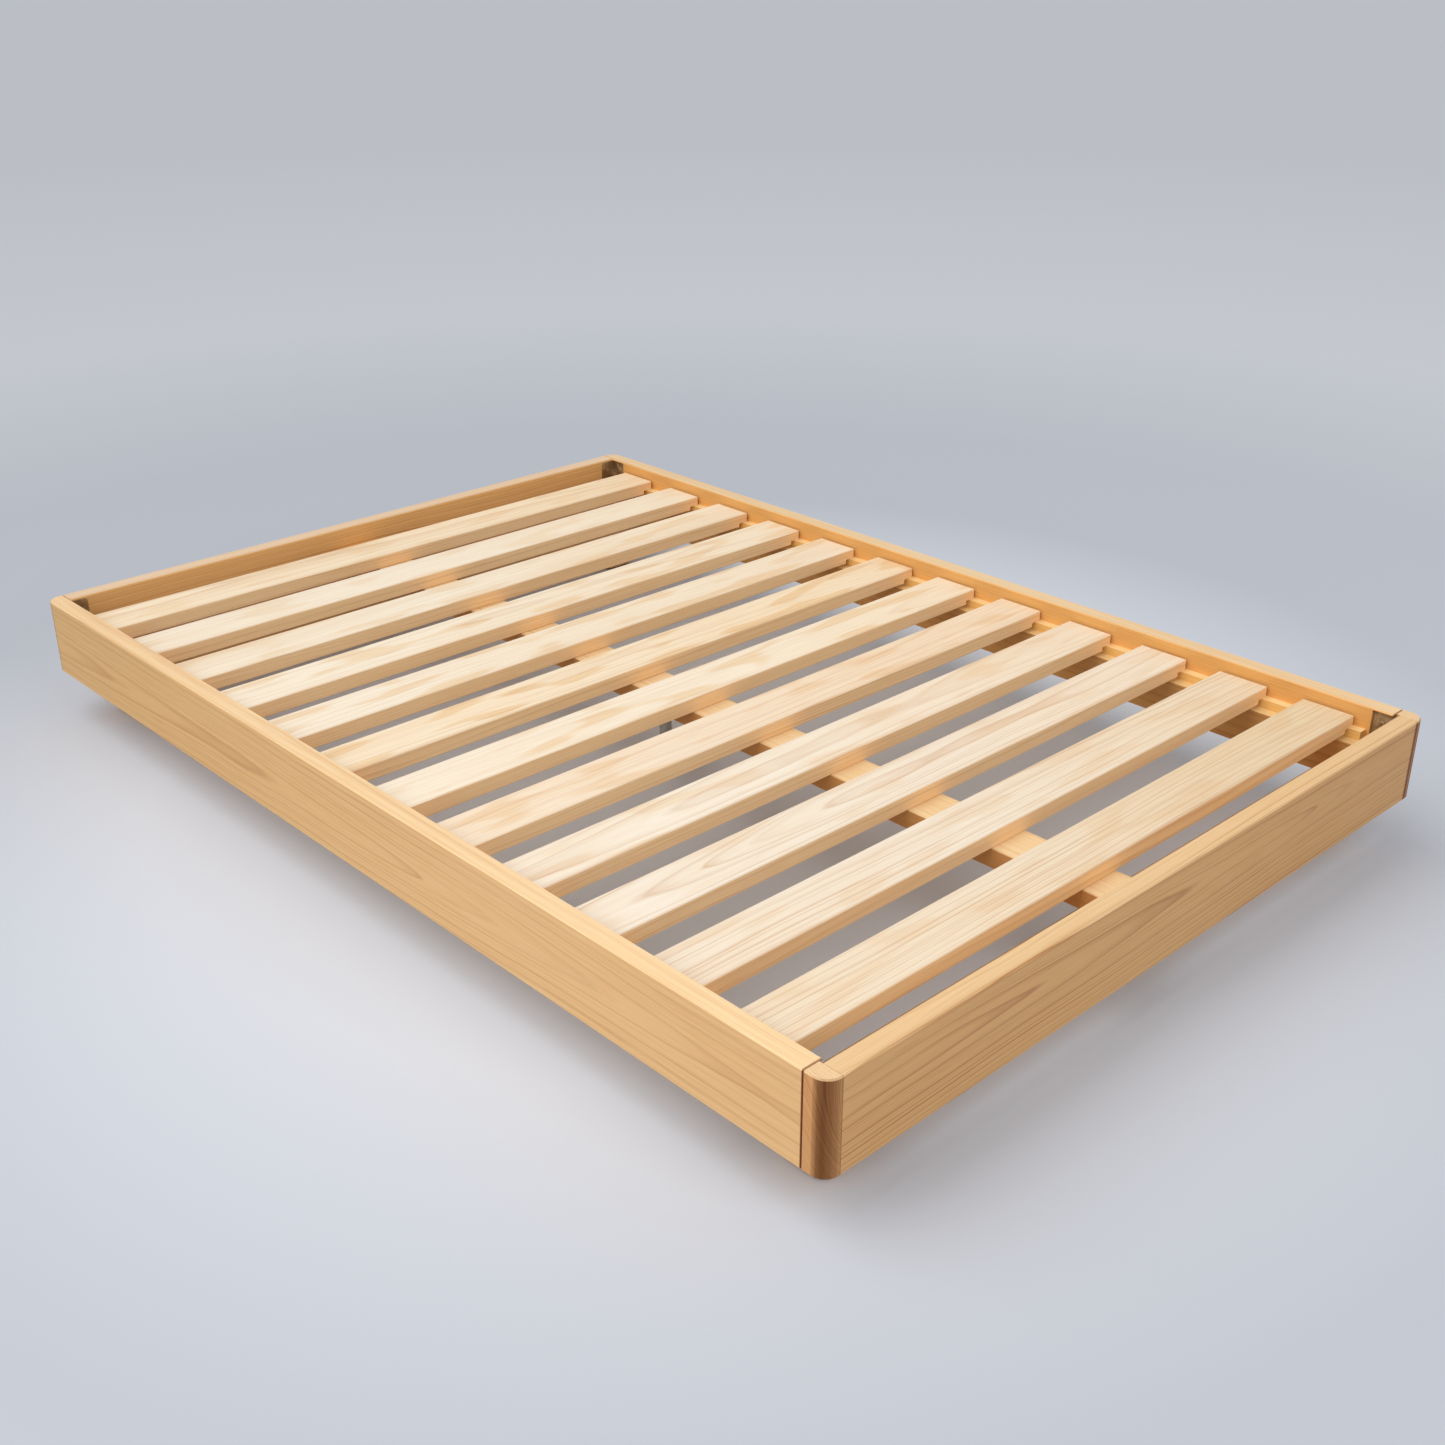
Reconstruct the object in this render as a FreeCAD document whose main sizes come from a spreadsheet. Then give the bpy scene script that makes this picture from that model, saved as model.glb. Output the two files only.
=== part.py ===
import FreeCAD
import Part
import os
import re
import Sketcher

# A low slatted bed frame of solid pine, in millimetres.
# X runs across the bed, Y from the foot to the head, Z up.
# The origin lies on the floor under the middle of the bed.

SIZES = {
    # the frame as a whole
    "bed_width": 1428,
    "bed_length": 2080,
    "floor_clearance": 85,
    # the four boards on edge
    "rail_height": 145,
    "rail_thickness": 34,
    "arris_chamfer": 2,
    "recess_depth": 8,
    "recess_margin": 2,
    "recess_lip": 3,
    # the rounded outer corners, on posts at the foot
    "post_stub": 6,
    "corner_radius": 24,
    # the slats and their rebated ends
    "slat_width": 95,
    "slat_thickness": 28,
    "slat_drop": 21.5,
    "slat_lip_thickness": 19,
    "slat_end_gap": 5,
    "slat_hook_gap": 10,
    "slat_foot_gap": 70,
    "slat_head_gap": 54,
    "slat_arris_chamfer": 1.5,
    # the two-step ledge inside each side rail
    "strip_width": 18,
    "strip_height": 16,
    "ledger_width": 40,
    "ledger_height": 67,
    "ledger_end_gap": 6,
    # the flat bar under the slats
    "beam_width": 80,
    "beam_height": 34,
    "beam_offset": 40,
    "beam_end_gap": 0.5,
    "cleat_width": 120,
    "cleat_depth": 30,
    "cleat_height": 38,
    # the supports under the frame
    "bearer_width": 80,
    "bearer_thickness": 21,
    "bearer_inset": 34,
    "leg_side": 70,
    "leg_chamfer": 6,
    "centre_leg_diameter": 22,
    "centre_stud_diameter": 8,
    "centre_stud_length": 24,
    "pad_thickness": 4,
    "pad_inset": 5,
    # the steel angles
    "bracket_leg": 40,
    "bracket_height": 80,
    "bracket_thickness": 3,
    "bracket_drop": 4,
    "bracket_radius": 6,
    # the screws and dowels
    "screw_diameter": 5,
    "screw_head_diameter": 10,
    "screw_head_height": 2.5,
    "bracket_screw_length": 16,
    "ledger_screw_length": 58,
    "bearer_screw_length": 55,
    "leg_screw_length": 60,
    "cleat_screw_length": 50,
    "cleat_screw_spacing": 80,
    "dowel_diameter": 10,
    "dowel_seat": 14,
    "dowel_reach": 22,
    "hole_clearance": 0.2,
    "overrun": 1,
}

SLAT_COUNT = 12
LEFT = -1
RIGHT = 1
FOOT = -1
HEAD = 1
SIDES = {"left": LEFT, "right": RIGHT}
ENDS = {"foot": FOOT, "head": HEAD}

# where fasteners lie along the piece that they hold
BRACKET_SCREW_SHARES = (0.25, 0.75)
BRACKET_SCREW_LEG_SHARE = 0.6
LEDGER_SCREW_SHARES = (0.06, 0.5, 0.94)
DOWEL_SHARES = (0.2, 0.7)
# the flat end of a screw's head, a screw's tip or a dowel, as a part of its radius
TIP_SHARE = 0.6
# flats round a screw or a dowel
ROUND_FLATS = 8
# an edge counts as long from this part of its piece's length
LONG_EDGE_SHARE = 0.8

# lengths that follow from the sheet
HALF_WIDTH = "(bed_width / 2)"
HALF_LENGTH = "(bed_length / 2)"
RAIL_BOTTOM = "(floor_clearance)"
RAIL_TOP = "(floor_clearance + rail_height)"
INNER_X = "(bed_width / 2 - rail_thickness)"
INNER_Y = "(bed_length / 2 - rail_thickness)"
RECESS_X = f"({INNER_X} + recess_depth)"
POST_BACK_Y = f"({INNER_Y} - post_stub)"
RECESS_Y = f"({INNER_Y} - bracket_leg - recess_margin)"
LEDGE_END_Y = f"({RECESS_Y} - ledger_end_gap)"
SLAT_TOP = f"({RAIL_TOP} - slat_drop)"
SLAT_BOTTOM = f"({SLAT_TOP} - slat_thickness)"
SLAT_END_X = f"({INNER_X} - slat_end_gap)"
SLAT_HOOK_X = f"({INNER_X} - strip_width - slat_hook_gap)"
SLAT_STEP = "(slat_thickness - slat_lip_thickness)"
SLAT_RUN = f"(2 * {INNER_Y} - slat_foot_gap - slat_head_gap - slat_width)"
STRIP_TOP = f"({SLAT_TOP} - slat_lip_thickness)"
LEDGER_TOP = f"({STRIP_TOP} - strip_height)"
LEDGER_BOTTOM = f"({LEDGER_TOP} - ledger_height)"
LEDGER_X = f"({INNER_X} - ledger_width)"
BEAM_BOTTOM = f"({SLAT_BOTTOM} - beam_height)"
BEARER_BOTTOM = f"({LEDGER_BOTTOM} - bearer_thickness)"
BEARER_OUTER_Y = f"({INNER_Y} - bearer_inset)"
BEARER_MIDDLE_Y = f"({BEARER_OUTER_Y} - bearer_width / 2)"
LEG_MIDDLE_X = f"({LEDGER_X} - leg_side / 2)"
BRACKET_TOP = f"({RAIL_TOP} - bracket_drop)"

doc = FreeCAD.newDocument("bed_frame")
sheet = doc.addObject("Spreadsheet::Sheet", "sizes")
for row, (alias, value) in enumerate(SIZES.items(), 1):
    sheet.set(f"A{row}", alias)
    sheet.set(f"B{row}", str(value))
    sheet.setAlias(f"B{row}", alias)
doc.recompute()

ALIAS = re.compile(r"\b(" + "|".join(SIZES) + r")\b")
X_AXIS = FreeCAD.Vector(1, 0, 0)
Y_AXIS = FreeCAD.Vector(0, 1, 0)
Z_AXIS = FreeCAD.Vector(0, 0, 1)
nodes = {}


def bound(formula):
    """Returns a formula with each alias joined to the sheet that holds it."""
    return ALIAS.sub(r"sizes.\1", formula)


def number(formula):
    """Returns the present value of a formula of the sheet's aliases."""
    return float(sheet.evalExpression(formula))


def point(x, y, z):
    """Returns a place whose coordinates are formulas."""
    return FreeCAD.Vector(number(x), number(y), number(z))


def keep(label, piece):
    """Takes an object into the parts that are exported."""
    piece.Label = label
    nodes[label] = piece
    return piece


def profile(body, plane_role, corners):
    """Draws a closed outline in a body, each corner tied to the sheet."""
    sketch = body.newObject("Sketcher::SketchObject", body.Name + "_outline")
    plane = next(item for item in body.Origin.OriginFeatures if item.Role == plane_role)
    sketch.AttachmentSupport = (plane, [""])
    sketch.MapMode = "FlatFace"
    places = [FreeCAD.Vector(number(u), number(v), 0) for u, v in corners]
    following = places[1:] + places[:1]
    for start, end in zip(places, following):
        sketch.addGeometry(Part.LineSegment(start, end), False)
    for index in range(len(corners)):
        after = (index + 1) % len(corners)
        sketch.addConstraint(Sketcher.Constraint("Coincident", index, 2, after, 1))
    for index, (u, v) in enumerate(corners):
        for kind, formula in (("DistanceX", u), ("DistanceY", v)):
            name = f"{kind}_{index}"
            tie = Sketcher.Constraint(kind, -1, 1, index, 1, number(formula))
            sketch.renameConstraint(sketch.addConstraint(tie), name)
            sketch.setExpression(f"Constraints.{name}", bound(formula))
    return sketch


def prism(label, corners, bottom, height):
    """Makes a body from an outline in plan, carried up by its height."""
    body = doc.addObject("PartDesign::Body", label)
    sketch = profile(body, "XY_Plane", corners)
    pad = body.newObject("PartDesign::Pad", body.Name + "_pad")
    pad.Profile = sketch
    pad.setExpression("Length", bound(height))
    body.Tip = pad
    body.setExpression("Placement.Base.z", bound(bottom))
    doc.recompute()
    return body


def oblong(x_low, x_high, y_low, y_high):
    """Returns the corners of a rectangle in plan."""
    return [(x_low, y_low), (x_high, y_low), (x_high, y_high), (x_low, y_high)]


def straight(edge, axis):
    """Tells whether an edge is a straight one along an axis."""
    if edge.Curve.TypeId != "Part::GeomLine":
        return False
    return abs(edge.Curve.Direction.dot(axis)) > LONG_EDGE_SHARE


def long_edges(shape, axis):
    """Returns the names of the edges that run along most of a shape."""
    along = [
        (f"Edge{index}", edge.Length)
        for index, edge in enumerate(shape.Edges, 1)
        if straight(edge, axis)
    ]
    longest = max(length for name, length in along)
    return [name for name, length in along if length > LONG_EDGE_SHARE * longest]


def edges_where(shape, test):
    """Returns the names of the edges whose middle passes a test."""
    return [
        f"Edge{index}"
        for index, edge in enumerate(shape.Edges, 1)
        if test(edge, edge.CenterOfMass)
    ]


def rounded(body, names, radius):
    """Rounds some edges of a body's last form."""
    blank = body.Tip
    fillet = body.newObject("PartDesign::Fillet", body.Name + "_rounded")
    fillet.Base = (blank, names)
    fillet.setExpression("Radius", bound(radius))
    body.Tip = fillet
    doc.recompute()


def eased(body, names, size):
    """Takes the sharpness off some edges of a body's last form."""
    blank = body.Tip
    chamfer = body.newObject("PartDesign::Chamfer", body.Name + "_eased")
    chamfer.Base = (blank, names)
    chamfer.setExpression("Size", bound(size))
    body.Tip = chamfer
    doc.recompute()


def spun(label, outline, x, bottom):
    """Makes a body turned round an upright line from half its outline."""
    body = doc.addObject("PartDesign::Body", label)
    sketch = profile(body, "XZ_Plane", outline)
    turn = body.newObject("PartDesign::Revolution", body.Name + "_turned")
    turn.Profile = sketch
    turn.ReferenceAxis = (sketch, ["V_Axis"])
    turn.Angle = 360
    body.Tip = turn
    body.setExpression("Placement.Base.x", bound(x))
    body.setExpression("Placement.Base.z", bound(bottom))
    doc.recompute()
    return body


def recess(body, plane_role, offset, corners, depth, flip):
    """Cuts a blind recess into a body from an outline on a shifted plane."""
    before = body.Tip.Shape.Volume
    sketch = profile(body, plane_role, corners)
    sketch.setExpression("AttachmentOffset.Base.z", bound(offset))
    pocket = body.newObject("PartDesign::Pocket", body.Name + "_recess")
    pocket.Profile = sketch
    pocket.setExpression("Length", bound(depth))
    pocket.Reversed = flip
    body.Tip = pocket
    doc.recompute()
    if pocket.Shape.Volume >= before:
        raise RuntimeError("recess cuts nothing: " + body.Label)


def board(label, corners, bottom, height, axis, size):
    """Makes a straight board whose long edges are eased."""
    body = prism(label, corners, bottom, height)
    eased(body, long_edges(body.Tip.Shape, axis), size)
    return body


def near(value, formula):
    """Tells whether a coordinate lies at the place a formula gives."""
    return abs(value - number(formula)) < number("hole_clearance")


def ring(radius, height):
    """Returns a regular outline around the Z axis at a height."""
    corner = FreeCAD.Vector(radius, 0, height)
    turn = 360 / ROUND_FLATS
    corners = [
        FreeCAD.Rotation(Z_AXIS, turn * step).multVec(corner) for step in range(ROUND_FLATS)
    ]
    return Part.makePolygon(corners + corners[:1])


def turned(outline):
    """Returns the solid through rings of the radii and heights given."""
    return Part.makeLoft([ring(radius, height) for radius, height in outline], True, True)


def pan_screw(length):
    """Returns a screw along -Z with its head seated at the origin."""
    radius = number("screw_diameter / 2")
    head = number("screw_head_diameter / 2")
    rise = number("screw_head_height")
    shank = turned([(radius * TIP_SHARE, -length), (radius, radius - length), (radius, 0)])
    dome = turned([(head, 0), (head, rise / 2), (head * TIP_SHARE, rise)])
    return shank.fuse(dome).removeSplitter()


def flush_screw(length):
    """Returns a screw along -Z whose cone head ends level with the origin."""
    radius = number("screw_diameter / 2")
    head = number("screw_head_diameter / 2")
    outline = [(radius * TIP_SHARE, -length), (radius, radius - length)]
    outline += [(radius, radius - head), (head, 0)]
    return turned(outline)


def flush_hole(length):
    """Returns the hole of a flush screw."""
    radius = number("screw_diameter / 2 + hole_clearance")
    head = number("screw_head_diameter / 2 + hole_clearance")
    bottom = -length - number("hole_clearance")
    top = number("overrun")
    return turned([(radius, bottom), (radius, radius - head), (head, 0), (head, top)])


def plain_hole(diameter, length):
    """Returns a straight hole along -Z that starts just above the origin."""
    radius = number(f"{diameter} / 2 + hole_clearance")
    bottom = -length - number("hole_clearance")
    return turned([(radius, bottom), (radius, number("overrun"))])


def round_hole(diameter, length):
    """Returns a smooth straight hole along -Z that starts just above the origin."""
    radius = number(f"{diameter} / 2 + hole_clearance")
    bottom = -length - number("hole_clearance")
    return Part.makeCylinder(radius, number("overrun") - bottom, Z_AXIS * bottom)


def dowel(length):
    """Returns a dowel along -Z with chamfered ends, its top at the origin."""
    radius = number("dowel_diameter / 2")
    tip = radius * TIP_SHARE
    chamfer = radius - tip
    return turned([(tip, -length), (radius, chamfer - length), (radius, -chamfer), (tip, 0)])


def dowel_hole(length):
    """Returns the hole of a dowel, a little longer at both ends."""
    radius = number("dowel_diameter / 2 + hole_clearance")
    spare = number("hole_clearance")
    return turned([(radius, -length - spare), (radius, spare)])


def repeated(label, shape, places):
    """Makes one object of a shape set at places, each with its outward way."""
    copies = []
    for place, outward in places:
        copy = shape.copy()
        copy.Placement = FreeCAD.Placement(place, FreeCAD.Rotation(Z_AXIS, outward))
        copies.append(copy)
    group = doc.addObject("Part::Feature", label)
    group.Shape = Part.makeCompound(copies)
    group.Placement = FreeCAD.Placement()
    return group


def drilled(label, body, holes):
    """Cuts the holes of fasteners from a body and keeps the result."""
    body.Label = label + "_undrilled"
    tool = holes[0]
    if len(holes) > 1:
        tool = doc.addObject("Part::Compound", label + "_holes")
        tool.Links = holes
    cut = doc.addObject("Part::Cut", label)
    cut.Base = body
    cut.Tool = tool
    doc.recompute()
    return keep(label, cut)


def signed(sign, formula):
    """Returns a formula on the side that a sign names."""
    return f"({sign} * {formula})"


# places of the screws of the steel angles, with the way out of the wood
bracket_places = []
for side in SIDES.values():
    for end in ENDS.values():
        for share in BRACKET_SCREW_SHARES:
            height = f"{BRACKET_TOP} - {share} * bracket_height"
            reach = f"({BRACKET_SCREW_LEG_SHARE} * bracket_leg)"
            on_side = point(
                signed(side, f"({RECESS_X} - bracket_thickness)"),
                signed(end, f"({INNER_Y} - {reach})"),
                height,
            )
            on_end = point(
                signed(side, f"({RECESS_X} - {reach})"),
                signed(end, f"({INNER_Y} - bracket_thickness)"),
                height,
            )
            bracket_places.append((on_side, X_AXIS * -side))
            bracket_places.append((on_end, Y_AXIS * -end))

# places of the ledger screws
ledger_places = []
for side in SIDES.values():
    for share in LEDGER_SCREW_SHARES:
        place = point(
            signed(side, LEDGER_X),
            f"(2 * {share} - 1) * {LEDGE_END_Y}",
            f"({LEDGER_TOP} + {LEDGER_BOTTOM}) / 2",
        )
        ledger_places.append((place, X_AXIS * -side))

# places of the screws between bearers, ledgers and legs
bearer_places = []
leg_places = []
for side in SIDES.values():
    for end in ENDS.values():
        place = point(
            signed(side, f"({LEDGER_X} + ledger_width / 2)"),
            signed(end, BEARER_MIDDLE_Y),
            BEARER_BOTTOM,
        )
        bearer_places.append((place, -Z_AXIS))
        place = point(signed(side, LEG_MIDDLE_X), signed(end, BEARER_MIDDLE_Y), LEDGER_BOTTOM)
        leg_places.append((place, Z_AXIS))

# places of the cleat screws
cleat_places = []
for end in ENDS.values():
    for step in (-1, 1):
        place = point(
            f"{step} * cleat_screw_spacing / 2 - beam_offset",
            signed(end, f"({INNER_Y} - cleat_depth)"),
            f"{BEAM_BOTTOM} - cleat_height / 2",
        )
        cleat_places.append((place, Y_AXIS * -end))

# places of the dowels, each given by the end in the longer piece
dowel_places = []
for side in SIDES.values():
    for share in DOWEL_SHARES:
        height = f"{RAIL_BOTTOM} + {share} * rail_height"
        for end, seat in ((FOOT, RECESS_X), (HEAD, INNER_X)):
            place = point(
                signed(side, f"({seat} - dowel_reach)"),
                signed(end, f"({INNER_Y} + rail_thickness / 2)"),
                height,
            )
            dowel_places.append((place, X_AXIS * -side))
        place = point(
            signed(side, f"(({HALF_WIDTH} + {RECESS_X}) / 2)"),
            signed(FOOT, f"({POST_BACK_Y} - dowel_reach)"),
            height,
        )
        dowel_places.append((place, Y_AXIS * -FOOT))

# place of the centre leg's stud
stud_places = [(point("-beam_offset", "0", BEAM_BOTTOM), -Z_AXIS)]

dowel_length = number("dowel_seat + dowel_reach")
bracket_length = number("bracket_screw_length + bracket_thickness")
groups = {
    "bracket_screws": (pan_screw(bracket_length), bracket_places),
    "ledger_screws": (flush_screw(number("ledger_screw_length")), ledger_places),
    "bearer_screws": (pan_screw(number("bearer_screw_length")), bearer_places),
    "leg_screws": (pan_screw(number("leg_screw_length")), leg_places),
    "cleat_screws": (pan_screw(number("cleat_screw_length")), cleat_places),
    "corner_dowels": (dowel(dowel_length), dowel_places),
}
for label, (shape, places) in groups.items():
    keep(label, repeated(label, shape, places))

tools = {
    "bracket": (plain_hole("screw_diameter", bracket_length), bracket_places),
    "ledger": (flush_hole(number("ledger_screw_length")), ledger_places),
    "bearer": (plain_hole("screw_diameter", number("bearer_screw_length")), bearer_places),
    "leg": (plain_hole("screw_diameter", number("leg_screw_length")), leg_places),
    "cleat": (plain_hole("screw_diameter", number("cleat_screw_length")), cleat_places),
    "dowel": (dowel_hole(dowel_length), dowel_places),
    "stud": (round_hole("centre_stud_diameter", number("centre_stud_length")), stud_places),
}
holes = {
    name: repeated(name + "_holes", shape, places) for name, (shape, places) in tools.items()
}

# the side rails, rounded at the head, with a blind recess inside at both ends for the angles
recess_low = "(rail_height - bracket_drop - bracket_height - recess_margin)"
recess_high = "(rail_height - recess_lip)"
for name, side in SIDES.items():
    label = name + "_side_rail"
    outer = signed(side, HALF_WIDTH)
    outline = oblong(signed(side, INNER_X), outer, f"-{POST_BACK_Y}", HALF_LENGTH)
    rail = prism(label, outline, RAIL_BOTTOM, "rail_height")
    corner = edges_where(
        rail.Tip.Shape,
        lambda edge, middle: near(middle.x, outer) and near(middle.y, HALF_LENGTH),
    )
    rounded(rail, corner, "corner_radius")
    seam = edges_where(
        rail.Tip.Shape,
        lambda edge, middle: (
            not straight(edge, Z_AXIS)
            or (near(middle.x, outer) and near(middle.y, f"-{POST_BACK_Y}"))
        ),
    )
    eased(rail, seam, "arris_chamfer")
    for low, high in ((f"(-{POST_BACK_Y} - overrun)", f"-{RECESS_Y}"), (RECESS_Y, INNER_Y)):
        outline = oblong(low, high, recess_low, recess_high)
        recess(rail, "YZ_Plane", signed(side, INNER_X), outline, "recess_depth", side == RIGHT)
    drilled(label, rail, [holes["bracket"], holes["ledger"], holes["dowel"]])

# the foot rail between the posts and the head rail between the side rails
for name, reach in (("foot", RECESS_X), ("head", INNER_X)):
    label = name + "_rail"
    end = ENDS[name]
    outline = oblong(f"-{reach}", reach, signed(end, INNER_Y), signed(end, HALF_LENGTH))
    rail = board(label, outline, RAIL_BOTTOM, "rail_height", X_AXIS, "arris_chamfer")
    drilled(label, rail, [holes["bracket"], holes["cleat"], holes["dowel"]])

# the rounded posts at the foot corners
for name, side in SIDES.items():
    label = f"foot_{name}_post"
    outer = signed(side, HALF_WIDTH)
    outline = oblong(signed(side, RECESS_X), outer, f"-{HALF_LENGTH}", f"-{POST_BACK_Y}")
    post = prism(label, outline, RAIL_BOTTOM, "rail_height")
    corner = edges_where(
        post.Tip.Shape,
        lambda edge, middle: near(middle.x, outer) and near(middle.y, f"-{HALF_LENGTH}"),
    )
    rounded(post, corner, "corner_radius")
    seam = edges_where(
        post.Tip.Shape,
        lambda edge, middle: (
            not near(middle.x, signed(side, RECESS_X))
            and (not straight(edge, Z_AXIS) or near(middle.y, f"-{POST_BACK_Y}"))
        ),
    )
    eased(post, seam, "arris_chamfer")
    drilled(label, post, [holes["dowel"]])

# the ledgers, and the strips that the slats hook over
for name, side in SIDES.items():
    label = name + "_ledger"
    outline = oblong(
        signed(side, LEDGER_X), signed(side, INNER_X), f"-{LEDGE_END_Y}", LEDGE_END_Y
    )
    ledger = prism(label, outline, LEDGER_BOTTOM, "ledger_height")
    drilled(label, ledger, [holes["ledger"], holes["bearer"]])
    label = name + "_slat_strip"
    outline = oblong(
        signed(side, f"({INNER_X} - strip_width)"),
        signed(side, INNER_X),
        f"-{LEDGE_END_Y}",
        LEDGE_END_Y,
    )
    keep(label, prism(label, outline, LEDGER_TOP, "strip_height"))

# the slats, counted from the head, each with a rebate under both ends
slat_outline = [
    (f"-{SLAT_HOOK_X}", "0"),
    (SLAT_HOOK_X, "0"),
    (SLAT_HOOK_X, SLAT_STEP),
    (SLAT_END_X, SLAT_STEP),
    (SLAT_END_X, "slat_thickness"),
    (f"-{SLAT_END_X}", "slat_thickness"),
    (f"-{SLAT_END_X}", SLAT_STEP),
    (f"-{SLAT_HOOK_X}", SLAT_STEP),
]
for index in range(SLAT_COUNT):
    label = f"slat_{index + 1:02d}"
    slat = doc.addObject("PartDesign::Body", label)
    sketch = profile(slat, "XZ_Plane", slat_outline)
    pad = slat.newObject("PartDesign::Pad", label + "_pad")
    pad.Profile = sketch
    pad.setExpression("Length", bound("slat_width"))
    pad.Reversed = True
    slat.Tip = pad
    share = (SLAT_COUNT - 1 - index) / (SLAT_COUNT - 1)
    start = f"slat_foot_gap - {INNER_Y} + {share} * {SLAT_RUN}"
    slat.setExpression("Placement.Base.y", bound(start))
    slat.setExpression("Placement.Base.z", bound(SLAT_BOTTOM))
    doc.recompute()
    eased(slat, long_edges(pad.Shape, X_AXIS), "slat_arris_chamfer")
    keep(label, slat)

# the centre beam, laid flat under the slats
outline = oblong(
    "(-beam_offset - beam_width / 2)",
    "(-beam_offset + beam_width / 2)",
    f"(beam_end_gap - {INNER_Y})",
    f"({INNER_Y} - beam_end_gap)",
)
beam = board("centre_beam", outline, BEAM_BOTTOM, "beam_height", Y_AXIS, "slat_arris_chamfer")
drilled("centre_beam", beam, [holes["stud"]])

# the cleats, the bearers and the legs
for name, end in ENDS.items():
    label = name + "_beam_cleat"
    outline = oblong(
        "(-beam_offset - cleat_width / 2)",
        "(-beam_offset + cleat_width / 2)",
        signed(end, f"({INNER_Y} - cleat_depth)"),
        signed(end, INNER_Y),
    )
    cleat = prism(label, outline, f"{BEAM_BOTTOM} - cleat_height", "cleat_height")
    drilled(label, cleat, [holes["cleat"]])
    label = name + "_bearer"
    outline = oblong(
        f"-{INNER_X}",
        INNER_X,
        signed(end, f"({BEARER_OUTER_Y} - bearer_width)"),
        signed(end, BEARER_OUTER_Y),
    )
    bearer = board(
        label, outline, BEARER_BOTTOM, "bearer_thickness", X_AXIS, "slat_arris_chamfer"
    )
    drilled(label, bearer, [holes["bearer"], holes["leg"]])
    for side_name, side in SIDES.items():
        label = f"{name}_{side_name}_leg"
        middle_x = signed(side, LEG_MIDDLE_X)
        middle_y = signed(end, BEARER_MIDDLE_Y)
        outline = oblong(
            f"({middle_x} - leg_side / 2)",
            f"({middle_x} + leg_side / 2)",
            f"({middle_y} - leg_side / 2)",
            f"({middle_y} + leg_side / 2)",
        )
        height = f"{BEARER_BOTTOM} - pad_thickness"
        leg = board(label, outline, "pad_thickness", height, Z_AXIS, "leg_chamfer")
        drilled(label, leg, [holes["leg"]])
        outline = oblong(
            f"({middle_x} - leg_side / 2 + pad_inset)",
            f"({middle_x} + leg_side / 2 - pad_inset)",
            f"({middle_y} - leg_side / 2 + pad_inset)",
            f"({middle_y} + leg_side / 2 - pad_inset)",
        )
        pad = board(label + "_pad", outline, "0", "pad_thickness", Z_AXIS, "leg_chamfer")
        keep(label + "_pad", pad)

# the slim steel leg under the beam, with a stud that goes up into it
leg_radius = "(centre_leg_diameter / 2)"
stud_radius = "(centre_stud_diameter / 2)"
shoulder = f"({BEAM_BOTTOM} - pad_thickness)"
tip = f"({shoulder} + centre_stud_length)"
outline = [
    ("0", "0"),
    (leg_radius, "0"),
    (leg_radius, shoulder),
    (stud_radius, shoulder),
    (stud_radius, tip),
    ("0", tip),
]
keep("centre_leg", spun("centre_leg", outline, "-beam_offset", "pad_thickness"))
outline = oblong("0", leg_radius, "0", "pad_thickness")
keep("centre_leg_pad", spun("centre_leg_pad", outline, "-beam_offset", "0"))

# the steel angles in the inner corners
for name, end in ENDS.items():
    for side_name, side in SIDES.items():
        label = f"{name}_{side_name}_bracket"
        far_x = signed(side, f"({RECESS_X} - bracket_leg)")
        skin_x = signed(side, f"({RECESS_X} - bracket_thickness)")
        far_y = signed(end, f"({INNER_Y} - bracket_leg)")
        skin_y = signed(end, f"({INNER_Y} - bracket_thickness)")
        back_x = signed(side, RECESS_X)
        back_y = signed(end, INNER_Y)
        outline = [
            (back_x, back_y),
            (far_x, back_y),
            (far_x, skin_y),
            (skin_x, skin_y),
            (skin_x, far_y),
            (back_x, far_y),
        ]
        bracket = prism(label, outline, f"{BRACKET_TOP} - bracket_height", "bracket_height")
        free = edges_where(
            bracket.Tip.Shape,
            lambda edge, middle: (
                (near(middle.x, far_x) or near(middle.y, far_y)) and not straight(edge, Z_AXIS)
            ),
        )
        rounded(bracket, free, "bracket_radius")
        drilled(label, bracket, [holes["bracket"]])

doc.recompute()
faults = [item.Label for item in doc.Objects if {"Invalid", "Error"} & set(item.State)]
if faults:
    raise RuntimeError("objects that failed: " + ", ".join(faults))
os.makedirs("parts", exist_ok=True)
for label, piece in nodes.items():
    if piece.Shape.isNull() or not piece.Shape.isValid():
        raise RuntimeError("bad shape: " + label)
    piece.Shape.exportStep(f"parts/{label}.step")
print(len(nodes), "parts written")
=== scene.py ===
"""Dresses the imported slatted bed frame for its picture.

The boards, slats, angles and legs come in from the pack, in metres, and keep their shapes. Each
board gets pine cut from its own place in a log, so that its faces and ends show the same rings.
Turned screws stand for the plain ones, and a pale studio is set round the bed.
"""

import logging
import math
from dataclasses import dataclass, field, replace
from enum import Enum

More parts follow.
